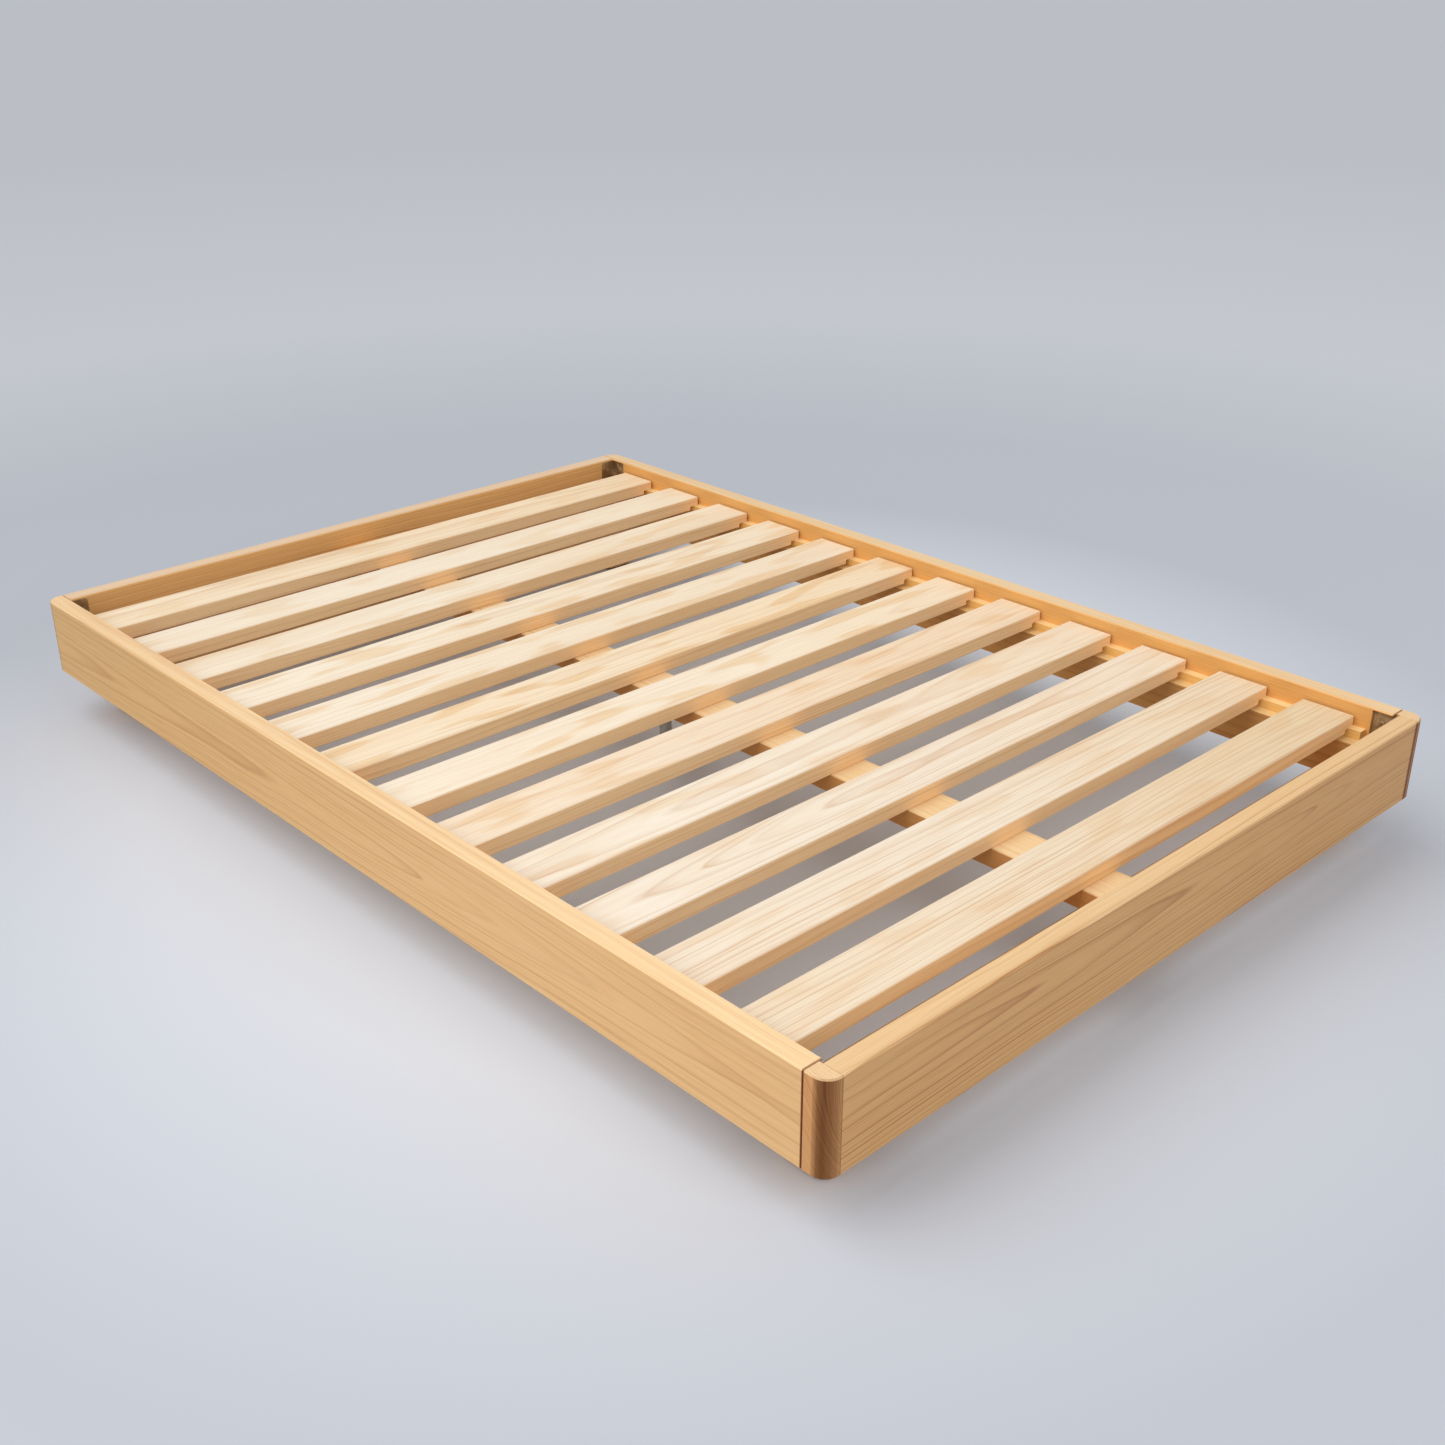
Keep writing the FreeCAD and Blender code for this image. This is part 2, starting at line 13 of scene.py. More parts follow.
import bpy
import numpy as np
from mathutils import Euler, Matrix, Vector


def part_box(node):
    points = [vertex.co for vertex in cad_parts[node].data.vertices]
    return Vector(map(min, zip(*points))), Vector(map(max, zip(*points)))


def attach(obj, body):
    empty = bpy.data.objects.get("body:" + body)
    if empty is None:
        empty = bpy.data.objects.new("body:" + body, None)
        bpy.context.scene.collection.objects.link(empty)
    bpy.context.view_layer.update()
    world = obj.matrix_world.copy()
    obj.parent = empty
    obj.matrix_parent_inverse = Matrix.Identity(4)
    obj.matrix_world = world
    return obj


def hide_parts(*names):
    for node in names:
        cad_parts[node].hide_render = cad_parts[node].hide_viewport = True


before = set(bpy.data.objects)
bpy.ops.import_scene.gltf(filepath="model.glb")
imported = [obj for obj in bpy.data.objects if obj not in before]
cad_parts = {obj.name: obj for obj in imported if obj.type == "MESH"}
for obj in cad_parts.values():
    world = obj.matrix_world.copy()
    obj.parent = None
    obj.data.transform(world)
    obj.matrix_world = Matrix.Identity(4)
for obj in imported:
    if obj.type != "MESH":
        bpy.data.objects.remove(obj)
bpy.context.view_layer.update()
LOG = logging.getLogger("slatted_bed")

Socket = bpy.types.NodeSocket
Pair = tuple[float, float]
Triple = tuple[float, float, float]
Colour = tuple[float, float, float, float]
# two stops, each a number before and after
Ramp = tuple[Pair, Pair]
# where a screw's head sits, and the way that it looks
Seat = tuple[Triple, Triple]

# the sRGB curve from a picture's values to light
SRGB_KNEE, SRGB_SLOPE, SRGB_OFFSET, SRGB_POWER = 0.04045, 12.92, 0.055, 2.4
# how far a face has to look one way before that face's own tone sets in, and is full
FACE_BLEND: Ramp = ((0.35, 0.0), (0.9, 1.0))
# the sides and ends of the bed, with the signs of X and Y there
SIDES = (("left", -1), ("right", 1))
ENDS = (("foot", -1), ("head", 1))


class Axis(Enum):
    """The way that a board's length runs."""

    X = (1.0, 0.0, 0.0)
    Y = (0.0, 1.0, 0.0)
    Z = (0.0, 0.0, 1.0)


class Facing(Enum):
    """The way that one face of a board looks."""

    UP = (0.0, 0.0, 1.0)
    LEFT = (-1.0, 0.0, 0.0)
    RIGHT = (1.0, 0.0, 0.0)
    FOOT = (0.0, -1.0, 0.0)
    HEAD = (0.0, 1.0, 0.0)


class Easing(Enum):
    """How the colours between two stops of a ramp are joined."""

    STRAIGHT = "LINEAR"
    SMOOTH = "EASE"


@dataclass(frozen=True)
class Tint:
    """A colour as a picture's red, green and blue, from 0 to 255."""

    red: float
    green: float
    blue: float

    def light(self) -> Colour:
        """Turns the colour into light by the sRGB curve.

        Returns:
            The light's red, green and blue, with full cover.
        """
        share = np.array([self.red, self.green, self.blue]) / 255
        bright = ((share + SRGB_OFFSET) / (1 + SRGB_OFFSET)) ** SRGB_POWER
        return (*np.where(share <= SRGB_KNEE, share / SRGB_SLOPE, bright).tolist(), 1.0)


@dataclass(frozen=True)
class Noise:
    """A soft noise, with its waves to the metre each way, its seed and how fine it goes."""

    scale: Triple
    seed: float = 0.0
    detail: float = 2.0


@dataclass(frozen=True)
class Relief:
    """A fine relief of a surface, with its strength and its depth in metres."""

    strength: float
    depth: float


def raised(ramp: Ramp, base: float) -> Ramp:
    """Returns a ramp with both its results counted from a base."""
    return tuple((before, base + after) for before, after in ramp)


class NodeDesk:
    """The nodes of one material, with short ways to add and join them."""

    def __init__(self, name: str) -> None:
        """Starts a material that holds a shader and its output.

        Args:
            name: the material's name.
        """
        self.material = bpy.data.materials.new(name)
        self.material.use_nodes = True
        self.nodes = self.material.node_tree.nodes
        self.links = self.material.node_tree.links
        self.shader = self.nodes["Principled BSDF"]

    def feed(self, socket: Socket, value: object) -> None:
        """Joins a socket to another, or gives it a value.

        Args:
            socket: the input.
            value: another node's output, or a plain value.
        """
        if isinstance(value, bpy.types.NodeSocket):
            self.links.new(value, socket)
        else:
            socket.default_value = value

    def add(self, kind: str, inputs: dict, **settings: object) -> bpy.types.Node:
        """Adds a node.

        Args:
            kind: the node's type, without its common start.
            inputs: values or sockets, by the name or number of the input.
            settings: the node's own choices.

        Returns:
            The new node.
        """
        node = self.nodes.new("ShaderNode" + kind)
        for name, choice in settings.items():
            setattr(node, name, choice)
        for key, value in inputs.items():
            self.feed(node.inputs[key], value)
        return node

    def finished(self, inputs: dict[str, object]) -> bpy.types.Material:
        """Feeds the shader.

        Args:
            inputs: values or sockets, by the name of the shader's input.

        Returns:
            The finished material.
        """
        for name, value in inputs.items():
            self.feed(self.shader.inputs[name], value)
        return self.material

    def place(self) -> Socket:
        """Returns the place on the piece, in metres."""
        return self.add("TexCoord", {}).outputs["Object"]

    def parts(self, vector: Socket) -> list[Socket]:
        """Returns the three parts of a vector."""
        return list(self.add("SeparateXYZ", {0: vector}).outputs)

    def sum(self, operation: str, *terms: object) -> Socket:
        """Returns the result of a sum on single numbers."""
        return self.add("Math", dict(enumerate(terms)), operation=operation).outputs[0]

    def product(self, first: object, *factors: object) -> Socket:
        """Multiplies numbers.

        Args:
            first: the first number.
            factors: the numbers that it is multiplied by.

        Returns:
            The product.
        """
        for factor in factors:
            first = self.sum("MULTIPLY", first, factor)
        return first

    def vector(self, operation: str, *terms: object) -> Socket:
        """Returns the result of a sum on vectors that gives a vector."""
        return self.add("VectorMath", dict(enumerate(terms)), operation=operation).outputs[0]

    def length(self, vector: Socket) -> Socket:
        """Returns a vector's length."""
        return self.add("VectorMath", {0: vector}, operation="LENGTH").outputs[1]

    def along(self, vector: Socket, way: Triple) -> Socket:
        """Returns how far a vector reaches one way."""
        return self.add("VectorMath", {0: vector, 1: way}, operation="DOT_PRODUCT").outputs[1]

    def noise(self, place: Socket, noise: Noise, seed: float = 0.0) -> bpy.types.Node:
        """Lays a noise over places.

        Args:
            place: the places.
            noise: the noise.
            seed: what is added to the noise's own seed.

        Returns:
            The noise's node, whose outputs are a number and a vector.
        """
        inputs = {
            "Vector": self.vector("MULTIPLY", place, noise.scale),
            "W": noise.seed + seed,
            "Scale": 1.0,
            "Detail": noise.detail,
        }
        return self.add("TexNoise", inputs, noise_dimensions="4D")

    def row(self, value: Socket, detail: float) -> Socket:
        """Returns a soft noise along a single number."""
        inputs = {"W": value, "Scale": 1.0, "Detail": detail}
        return self.add("TexNoise", inputs, noise_dimensions="1D").outputs[0]

    def spread(self, value: Socket, ramp: Ramp) -> Socket:
        """Carries a number from one range to another, and eases in and out.

        Args:
            value: the number.
            ramp: where the range starts and where it ends.

        Returns:
            The number in its new range, held inside it.
        """
        (start, first), (end, last) = ramp
        inputs = {0: value, 1: start, 2: end, 3: first, 4: last}
        return self.add("MapRange", inputs, interpolation_type="SMOOTHSTEP").outputs[0]

    def ramp(self, value: Socket, stops: list[tuple[float, Colour]], easing: Easing) -> Socket:
        """Reads a colour from a row of stops.

        Args:
            value: the place to read at, from 0 to 1.
            stops: each stop's place and colour.
            easing: how the colours between them are joined.

        Returns:
            The colour.
        """
        node = self.add("ValToRGB", {0: value})
        node.color_ramp.interpolation = easing.value
        points = node.color_ramp.elements
        while len(points) < len(stops):
            points.new(0.5)
        for point, (place, colour) in zip(points, stops):
            point.position = place
            point.color = colour
        return node.outputs[0]

    def curve(self, value: Socket, stops: tuple[Pair, ...]) -> Socket:
        """Returns a number read from stops of place and height, joined smoothly."""
        greys = [(place, (height, height, height, 1.0)) for place, height in stops]
        return self.ramp(value, greys, Easing.SMOOTH)

    def mixed(self, share: object, first: object, second: object) -> Socket:
        """Returns a colour between two others."""
        return self.add("Mix", {0: share, 6: first, 7: second}, data_type="RGBA").outputs[2]

    def toned(self, share: object, colour: Socket, factor: object) -> Socket:
        """Returns a colour multiplied by another as far as a share says."""
        inputs = {0: share, 6: colour, 7: factor}
        return self.add("Mix", inputs, data_type="RGBA", blend_type="MULTIPLY").outputs[2]

    def facing(self, way: Facing) -> Socket:
        """Returns 1 on faces that look one way and 0 on those square to it."""
        normal = self.add("NewGeometry", {}).outputs["Normal"]
        return self.spread(self.along(normal, way.value), FACE_BLEND)

    def bumped(self, height: Socket, relief: Relief) -> Socket:
        """Returns the way that a surface looks when a relief bends it."""
        inputs = {"Strength": relief.strength, "Distance": relief.depth, "Height": height}
        return self.add("Bump", inputs).outputs[0]


@dataclass(frozen=True)
class Wood:
    """The two colours of a pine's rings, early and late in the year."""

    early: Tint
    late: Tint


@dataclass(frozen=True)
class PineTone:
    """The pine of one kind of board, with faces whose colours differ: on most boards as painted
    light and shade, on the slats' ends as their end grain.
    """

    body: Wood
    faces: tuple[tuple[Facing, Wood], ...] = ()
    roughness: float = 0.46


@dataclass(frozen=True)
class Cut:
    """How a board was cut from its log, in metres and degrees."""

    axis: Axis
    heart: Pair
    lean: Pair = (0.0, 0.0)
    ring: float = 0.0075
    wander: float = 0.008
    line: float = 0.6
    seed: float = 0.0


@dataclass(frozen=True)
class Grain:
    """What the grain of all the boards has in common, in the log's frame.

    The bend moves the rings by its reach, in wanders. The ripple and the unevenness move them by
    years. The season is how dark a year's wood is from its start to its end. Vigour differs from
    year to year, and the waning from place to place. Clouds, fibres and resin canals lie on top.
    """

    bend: Noise = Noise((5.0, 5.0, 1.1))
    bend_reach: float = 4.0
    ripple: Noise = Noise((60.0, 60.0, 5.0), 3.0)
    ripple_years: float = 0.3
    uneven_scale: float = 70.0
    uneven_detail: float = 1.0
    uneven_years: float = 3.0
    season: tuple[Pair, ...] = (
        (0.0, 0.35), (0.08, 0.0), (0.5, 0.08), (0.8, 0.5), (0.92, 1.0), (1.0, 0.4)
    )
    year_step: float = 0.73
    vigour: Ramp = ((0.3, 0.4), (0.7, 1.0))
    waning: Noise = Noise((9.0, 9.0, 1.6), 7.0)
    waning_share: Ramp = ((0.3, 0.5), (0.65, 1.0))
    cloud: Noise = Noise((7.0, 7.0, 1.3), 11.0)
    cloud_share: Ramp = ((0.35, 0.0), (0.75, 0.3))
    cloud_tint: Tint = Tint(248, 230, 204)
    fibre: Noise = Noise((750.0, 750.0, 9.0), 17.0, 3.0)
    fibre_share: Ramp = ((0.3, 0.0), (0.75, 0.3))
    fibre_tint: Tint = Tint(226, 190, 148)
    canal: Noise = Noise((900.0, 900.0, 55.0), 23.0, 1.0)
    canal_share: Ramp = ((0.69, 0.0), (0.76, 0.4))
    canal_tint: Tint = Tint(176, 122, 74)
    sheen: Ramp = ((0.25, -0.06), (0.75, 0.08))
    gloss: float = 0.3
    ring_relief: float = 0.6
    relief: Relief = Relief(0.18, 0.0004)


@dataclass(frozen=True)
class Patches:
    """The long warm patches on top of a slat, and how far the whole top is warmed.

    The top also gets painted warm bounce light from the slat's left part to its right end, over a
    span in metres.
    """

    strength: float
    warmth: float = 0.0
    cloud: Noise = Noise((6.5, 30.0, 5.0), 5.0, 0.6)
    edges: Pair = (0.52, 0.63)
    span: Pair = (-0.25, 0.6)
    tint: Tint = Tint(243, 219, 182)
    shade: Tint = Tint(255, 247, 232)
    right_bounce_tint: Tint = Tint(254, 248, 240)


@dataclass(frozen=True)
class LightShadeDrift:
    """Painted light and shade that changes slowly along one of a board's faces, over a span in
    metres.
    """

    facing: Facing
    axis: Axis
    span: Pair
    tint: Tint


@dataclass(frozen=True)
class CornerGrainAndShade:
    """The dark band on a rounded corner: its end grain, deepened with painted shade where the round
    turns away from the lights.

    The band follows the angle round the corner's upright centre line, from 0 where the round
    leaves the side face to 1 where it meets the end face. The rings streak it.
    """

    centre: Pair
    outward: Pair
    stops: tuple[Pair, ...] = (
        (0.0, 0.25), (0.1, 0.5), (0.22, 0.88), (0.38, 1.0), (0.6, 0.85), (0.8, 0.62), (1.0, 0.3)
    )
    streak: Ramp = ((0.0, 0.92), (0.6, 1.06))
    tint: Tint = Tint(106, 58, 12)


@dataclass(frozen=True)
class Seam:
    """The dark line where two pieces of wood meet square to an axis.

    It fades out between two shares of its width, and shows on top as far as a share says.
    """

    axis: Axis
    place: float
    width: float = 0.0018
    tint: Tint = Tint(138, 86, 50)
    on_top: float = 0.5
    edge_shares: Pair = (0.6, 1.2)


@dataclass(frozen=True)
class SlatGapShade:
    """Painted shadow inside a side rail where each slat's end stands, for the narrow gap between
    them, in metres.
    """

    inward: Facing
    first: float
    pitch: float
    width: float
    low: float
    high: float
    soft_ends: float = 0.012
    soft_foot: float = 0.010
    soft_head: float = 0.002
    tint: Tint = Tint(176, 146, 120)


@dataclass(frozen=True)
class PineFinish:
    """Makes the pine of one board from its place in the log.

    In the log's own frame Z runs along the heart. A ring's number is the distance from the heart,
    bent by a slow noise, divided by the ring width. What is left after its whole years runs from
    early wood, pale and wide, to late wood, a narrow dark line.
    """

    tone: PineTone
    cut: Cut
    middle: Vector
    grain: Grain = Grain()

    def placed(self, desk: NodeDesk) -> Socket:
        """Finds places in the log's frame, its heart along Z.

        Args:
            desk: the material's nodes.

        Returns:
            The place in the log.
        """
        turn = Vector(self.cut.axis.value).rotation_difference(Vector(Axis.Z.value)).to_matrix()
        lean = Euler([math.radians(angle) for angle in (*self.cut.lean, 0.0)]).to_matrix()
        turn = lean @ turn
        shift = -(turn @ self.middle) - Vector((*self.cut.heart, 0.0))
        inputs = {"Vector": desk.place(), "Location": shift, "Rotation": turn.to_euler()}
        return desk.add("Mapping", inputs).outputs[0]

    def rings(self, desk: NodeDesk, place: Socket) -> Socket:
        """Tells early wood from late.

        Args:
            desk: the material's nodes.
            place: the place in the log.

        Returns:
            How late in its year the wood there grew, from 0 to 1.
        """
        cut, grain = self.cut, self.grain
        slow = desk.noise(place, grain.bend, cut.seed).outputs[1]
        bend = desk.vector("SUBTRACT", slow, (0.5, 0.5, 0.5))
        reach = cut.wander * grain.bend_reach
        bent = desk.vector("MULTIPLY_ADD", bend, (reach, reach, 0.0), place)
        radius = desk.length(desk.vector("MULTIPLY", bent, (1.0, 1.0, 0.0)))
        ripple = desk.noise(place, grain.ripple, cut.seed).outputs[0]
        years = desk.product(ripple, grain.ripple_years)
        years = desk.sum("MULTIPLY_ADD", radius, 1 / cut.ring, years)
        uneven = desk.sum("MULTIPLY_ADD", radius, grain.uneven_scale, cut.seed)
        uneven = desk.row(uneven, grain.uneven_detail)
        years = desk.sum("MULTIPLY_ADD", uneven, grain.uneven_years, years)
        late = desk.curve(desk.sum("FRACT", years), grain.season)
        year = desk.sum("MULTIPLY_ADD", desk.sum("FLOOR", years), grain.year_step, cut.seed)
        vigour = desk.spread(desk.row(year, 0.0), grain.vigour)
        waning = desk.noise(place, grain.waning, cut.seed).outputs[0]
        return desk.product(late, vigour, desk.spread(waning, grain.waning_share))

    def wood(self, desk: NodeDesk, share: Socket) -> Socket:
        """Colours the rings, face by face.

        Args:
            desk: the material's nodes.
            share: how much of the late wood shows.

        Returns:
            The colour.
        """
        early: object = self.tone.body.early.light()
        late: object = self.tone.body.late.light()
        for facing, wood in self.tone.faces:
            mask = desk.facing(facing)
            early = desk.mixed(mask, early, wood.early.light())
            late = desk.mixed(mask, late, wood.late.light())
        return desk.mixed(share, early, late)

    def drifted(self, desk: NodeDesk, colour: Socket, drift: LightShadeDrift) -> Socket:
        """Paints light and shade on one face, more and more along its length.

        Args:
            desk: the material's nodes.
            colour: the colour so far.
            drift: the change.

        Returns:
            drift: the painted light and shade.
        """
        along = desk.along(desk.place(), drift.axis.value)
        share = desk.spread(along, ((drift.span[0], 0.0), (drift.span[1], 1.0)))
        share = desk.product(share, desk.facing(drift.facing))
        return desk.toned(share, colour, drift.tint.light())

    def patched(self, desk: NodeDesk, colour: Socket, patches: Patches) -> Socket:
        """Warms the top, paints warm bounce light towards its right end, and warms long soft
        patches in it a shade more.

        Args:
            desk: the material's nodes.
            colour: the colour so far.
            patches: the patches.

        Returns:
            The warmed colour.
        """
        top = desk.facing(Facing.UP)
        colour = desk.toned(desk.product(top, patches.warmth), colour, patches.shade.light())
        # painted warm bounce light on the top, rising towards the slat's right end
        drift = LightShadeDrift(Facing.UP, Axis.X, patches.span, patches.right_bounce_tint)
        colour = self.drifted(desk, colour, drift)
        cloud = desk.noise(desk.place(), patches.cloud, self.cut.seed).outputs[0]
        ramp = ((patches.edges[0], 0.0), (patches.edges[1], patches.strength))
        share = desk.product(top, desk.spread(cloud, ramp))
        return desk.toned(share, colour, patches.tint.light())

    def stained(self, desk: NodeDesk, colour: Socket, late: Socket, stain: CornerGrainAndShade) -> Socket:
        """Lays a corner's dark end grain and painted shade over the colour.

        Args:
            desk: the material's nodes.
            colour: the colour so far.
            late: how late in its year the wood grew.
            stain: the dark band of end grain and painted shade.

        Returns:
            The stained colour.
        """
        place = desk.vector("SUBTRACT", desk.place(), (*stain.centre, 0.0))
        side, end, _ = desk.parts(desk.vector("MULTIPLY", place, (*stain.outward, 0.0)))
        turn = desk.sum("DIVIDE", desk.sum("ARCTAN2", end, side), math.pi / 2)
        reach = desk.curve(turn, stain.stops)
        inside = desk.sum("GREATER_THAN", end, 0.0)
        upright = desk.sum("SUBTRACT", 1.0, desk.facing(Facing.UP))
        share = desk.product(reach, inside, upright, desk.spread(late, stain.streak))
        return desk.mixed(share, colour, stain.tint.light())

    def seamed(self, desk: NodeDesk, colour: Socket, seam: Seam) -> Socket:
        """Darkens the colour within a seam's width of its place.

        Args:
            desk: the material's nodes.
            colour: the colour so far.
            seam: the seam.

        Returns:
            The darkened colour.
        """
        along = desk.along(desk.place(), seam.axis.value)
        away = desk.sum("ABSOLUTE", desk.sum("SUBTRACT", along, seam.place))
        start, end = (seam.width * share for share in seam.edge_shares)
        share = desk.spread(away, ((start, 1.0), (end, 0.0)))
        shown = desk.sum("MULTIPLY_ADD", desk.facing(Facing.UP), seam.on_top - 1.0, 1.0)
        return desk.toned(desk.product(share, shown), colour, seam.tint.light())

    def gap_shaded(self, desk: NodeDesk, colour: Socket, marks: SlatGapShade) -> Socket:
        """Paints shadow inside a rail where each slat's end stands, in the narrow gap at its end.

        Args:
            desk: the material's nodes.
            colour: the colour so far.
            marks: the painted shadow.

        Returns:
            The darkened colour.
        """
        _, length, height = desk.parts(desk.place())
        along = desk.sum("SUBTRACT", length, marks.first)
        along = desk.sum("FLOORED_MODULO", along, marks.pitch)
        half = marks.width / 2
        away = desk.sum("ABSOLUTE", desk.sum("SUBTRACT", along, half))
        share = desk.product(
            desk.spread(away, ((half - marks.soft_ends, 1.0), (half, 0.0))),
            desk.spread(height, ((marks.low, 0.0), (marks.low + marks.soft_foot, 1.0))),
            desk.spread(height, ((marks.high - marks.soft_head, 1.0), (marks.high, 0.0))),
            desk.facing(marks.inward),
        )
        return desk.toned(share, colour, marks.tint.light())

    def dress(
        self,
        name: str,
        patches: Patches | None = None,
        drift: LightShadeDrift | None = None,
        stain: CornerGrainAndShade | None = None,
        seams: tuple[Seam, ...] = (),
        marks: SlatGapShade | None = None,
    ) -> bpy.types.Material:
        """Makes the material.

        Args:
            name: the material's name.
            patches: the warm patches, where the board has them.
            drift: the painted light and shade along a face, where the board has it.
            stain: the corner's dark end grain and painted shade, where the board has one.
            seams: the dark lines where the board meets another.
            marks: the painted shadow at the slats' ends, where the board has it.

        Returns:
            The finished material.
        """
        desk = NodeDesk(name)
        cut, grain = self.cut, self.grain
        place = self.placed(desk)
        late = self.rings(desk, place)
        colour = self.wood(desk, desk.product(late, cut.line))
        cloud = desk.noise(place, grain.cloud, cut.seed).outputs[0]
        colour = desk.toned(desk.spread(cloud, grain.cloud_share), colour, grain.cloud_tint.light())
        fibre = desk.noise(place, grain.fibre, cut.seed).outputs[0]
        colour = desk.toned(desk.spread(fibre, grain.fibre_share), colour, grain.fibre_tint.light())
        canal = desk.noise(place, grain.canal, cut.seed).outputs[0]
        fleck = desk.product(desk.spread(canal, grain.canal_share), late)
        colour = desk.toned(fleck, colour, grain.canal_tint.light())
        if patches:
            colour = self.patched(desk, colour, patches)
        # painted light and shade that changes along a face
        if drift:
            colour = self.drifted(desk, colour, drift)
        # dark end grain with painted shade on a rounded corner
        if stain:
            colour = self.stained(desk, colour, late, stain)
        for seam in seams:
            colour = self.seamed(desk, colour, seam)
        # painted shadow in the narrow gaps at the slats' ends
        if marks:
            colour = self.gap_shaded(desk, colour, marks)
        relief = desk.sum("MULTIPLY_ADD", late, grain.ring_relief, fibre)
        return desk.finished({
            "Base Color": colour,
            "Roughness": desk.spread(fibre, raised(grain.sheen, self.tone.roughness)),
            "Specular IOR Level": grain.gloss,
            "Normal": desk.bumped(relief, grain.relief),
        })


@dataclass(frozen=True)
class SteelFinish:
    """Pressed steel with a worn coat, mottled by a broad noise and a fine one."""

    coat: Tint
    bare: Tint
    metallic: float
    roughness: float
    broad: Noise = Noise((45.0, 45.0, 45.0), 2.0, 4.0)
    broad_wear: Ramp = ((0.42, 0.0), (0.72, 0.8))
    fine: Noise = Noise((700.0, 700.0, 700.0), 5.0, 3.0)
    fine_wear: Ramp = ((0.35, 0.3), (0.6, 1.0))
    sheen: Ramp = ((0.3, -0.08), (0.7, 0.1))
    relief: Relief = Relief(0.15, 0.0002)

    def dress(self, name: str) -> bpy.types.Material:
        """Makes the material.

        Args:
            name: the material's name.

        Returns:
            The finished material.
        """
        desk = NodeDesk(name)
        place = desk.place()
        broad = desk.noise(place, self.broad).outputs[0]
        fine = desk.noise(place, self.fine).outputs[0]
        wear = desk.product(desk.spread(broad, self.broad_wear), desk.spread(fine, self.fine_wear))
        return desk.finished({
            "Base Color": desk.mixed(wear, self.coat.light(), self.bare.light()),
            "Metallic": self.metallic,
            "Roughness": desk.spread(fine, raised(self.sheen, self.roughness)),
            "Normal": desk.bumped(fine, self.relief),
        })


@dataclass(frozen=True)
class FeltFinish:
    """Pressed wool felt, from two noises of fibres that cross."""

    dark: Tint = Tint(92, 84, 76)
    pale: Tint = Tint(132, 122, 110)
    long_way: Noise = Noise((1400.0, 260.0, 900.0), 1.0, 4.0)
    cross_way: Noise = Noise((260.0, 1400.0, 900.0), 4.0, 4.0)
    pale_share: Ramp = ((0.4, 0.0), (0.75, 1.0))
    roughness: float = 0.95
    relief: Relief = Relief(0.6, 0.0006)

    def dress(self, name: str) -> bpy.types.Material:
        """Makes the material.

        Args:
            name: the material's name.

        Returns:
            The finished material.
        """
        desk = NodeDesk(name)
        place = desk.place()
        ways = [desk.noise(place, way).outputs[0] for way in (self.long_way, self.cross_way)]
        fibre = desk.sum("MAXIMUM", *ways)
        share = desk.spread(fibre, self.pale_share)
        return desk.finished({
            "Base Color": desk.mixed(share, self.dark.light(), self.pale.light()),
            "Roughness": self.roughness,
            "Normal": desk.bumped(fibre, self.relief),
        })


def middle_of(node: str) -> Vector:
    """Returns the middle of a CAD node's box."""
    low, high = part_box(node)
    return (low + high) / 2


def put_on(node: str, material: bpy.types.Material) -> None:
    """Puts a material on a CAD node.

    Args:
        node: the node's name.
        material: the material.
    """
    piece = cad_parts[node]
    if not piece.material_slots:
        piece.data.materials.append(material)
    for slot in piece.material_slots:
        slot.material = material
    LOG.info("dressed %s", node)


def pine_on(node: str, tone: PineTone, cut: Cut, **signs: object) -> None:
    """Puts a board's own pine on it.

    Args:
        node: the board's CAD node.
        tone: the board's colours.
        cut: how it was cut from its log.
        signs: what else shows on it, by the names that PineFinish.dress gives.
    """
    finish = PineFinish(tone, cut, middle_of(node))
    put_on(node, finish.dress(node + "_pine", **signs))


# Lit and shaded copies of the pine, face by face, as painted light and shade: tops are paler where
# the light falls; the side and head rails' inner faces are more amber as painted bounce light and
# the foot rail's inner face paler as painted light; the end rails' outer faces (END_FACE) and the
# right rail's top (RIGHT_TOP) are darker as painted shade; the ledgers' and the beam's upright
# faces are darker as painted shade under the strips and slats. END_GRAIN is the slats' own darker
# end grain.
RAIL_FACE = Wood(Tint(234, 191, 134), Tint(177, 119, 61))
RAIL_TOP = Wood(Tint(252, 219, 171), Tint(214, 158, 98))
RIGHT_TOP = Wood(Tint(246, 216, 170), Tint(209, 156, 97))
RAIL_INSIDE = Wood(Tint(239, 185, 111), Tint(196, 130, 62))
END_FACE = Wood(Tint(224, 177, 118), Tint(168, 108, 54))
FOOT_TOP = Wood(Tint(238, 203, 154), Tint(196, 142, 86))
FOOT_INSIDE = Wood(Tint(249, 221, 174), Tint(228, 180, 124))
HEAD_TOP = Wood(Tint(241, 212, 177), Tint(214, 168, 120))
HEAD_INSIDE = Wood(Tint(239, 191, 125), Tint(196, 136, 72))
POST_FACE = Wood(Tint(214, 161, 105), Tint(160, 104, 56))
POST_TOP = Wood(Tint(242, 211, 168), Tint(206, 152, 96))
SLAT_SIDE = Wood(Tint(253, 219, 171), Tint(208, 158, 104))
SLAT_TOP = Wood(Tint(255, 245, 226), Tint(212, 164, 112))
END_GRAIN = Wood(Tint(216, 170, 118), Tint(168, 118, 70))
LEDGE_TOP = Wood(Tint(255, 224, 162), Tint(242, 194, 124))
LEDGER_FACE = Wood(Tint(212, 160, 94), Tint(178, 120, 64))
STRIP_FACE = Wood(Tint(250, 206, 128), Tint(228, 170, 94))
BEAM_FACE = Wood(Tint(214, 158, 94), Tint(180, 118, 60))
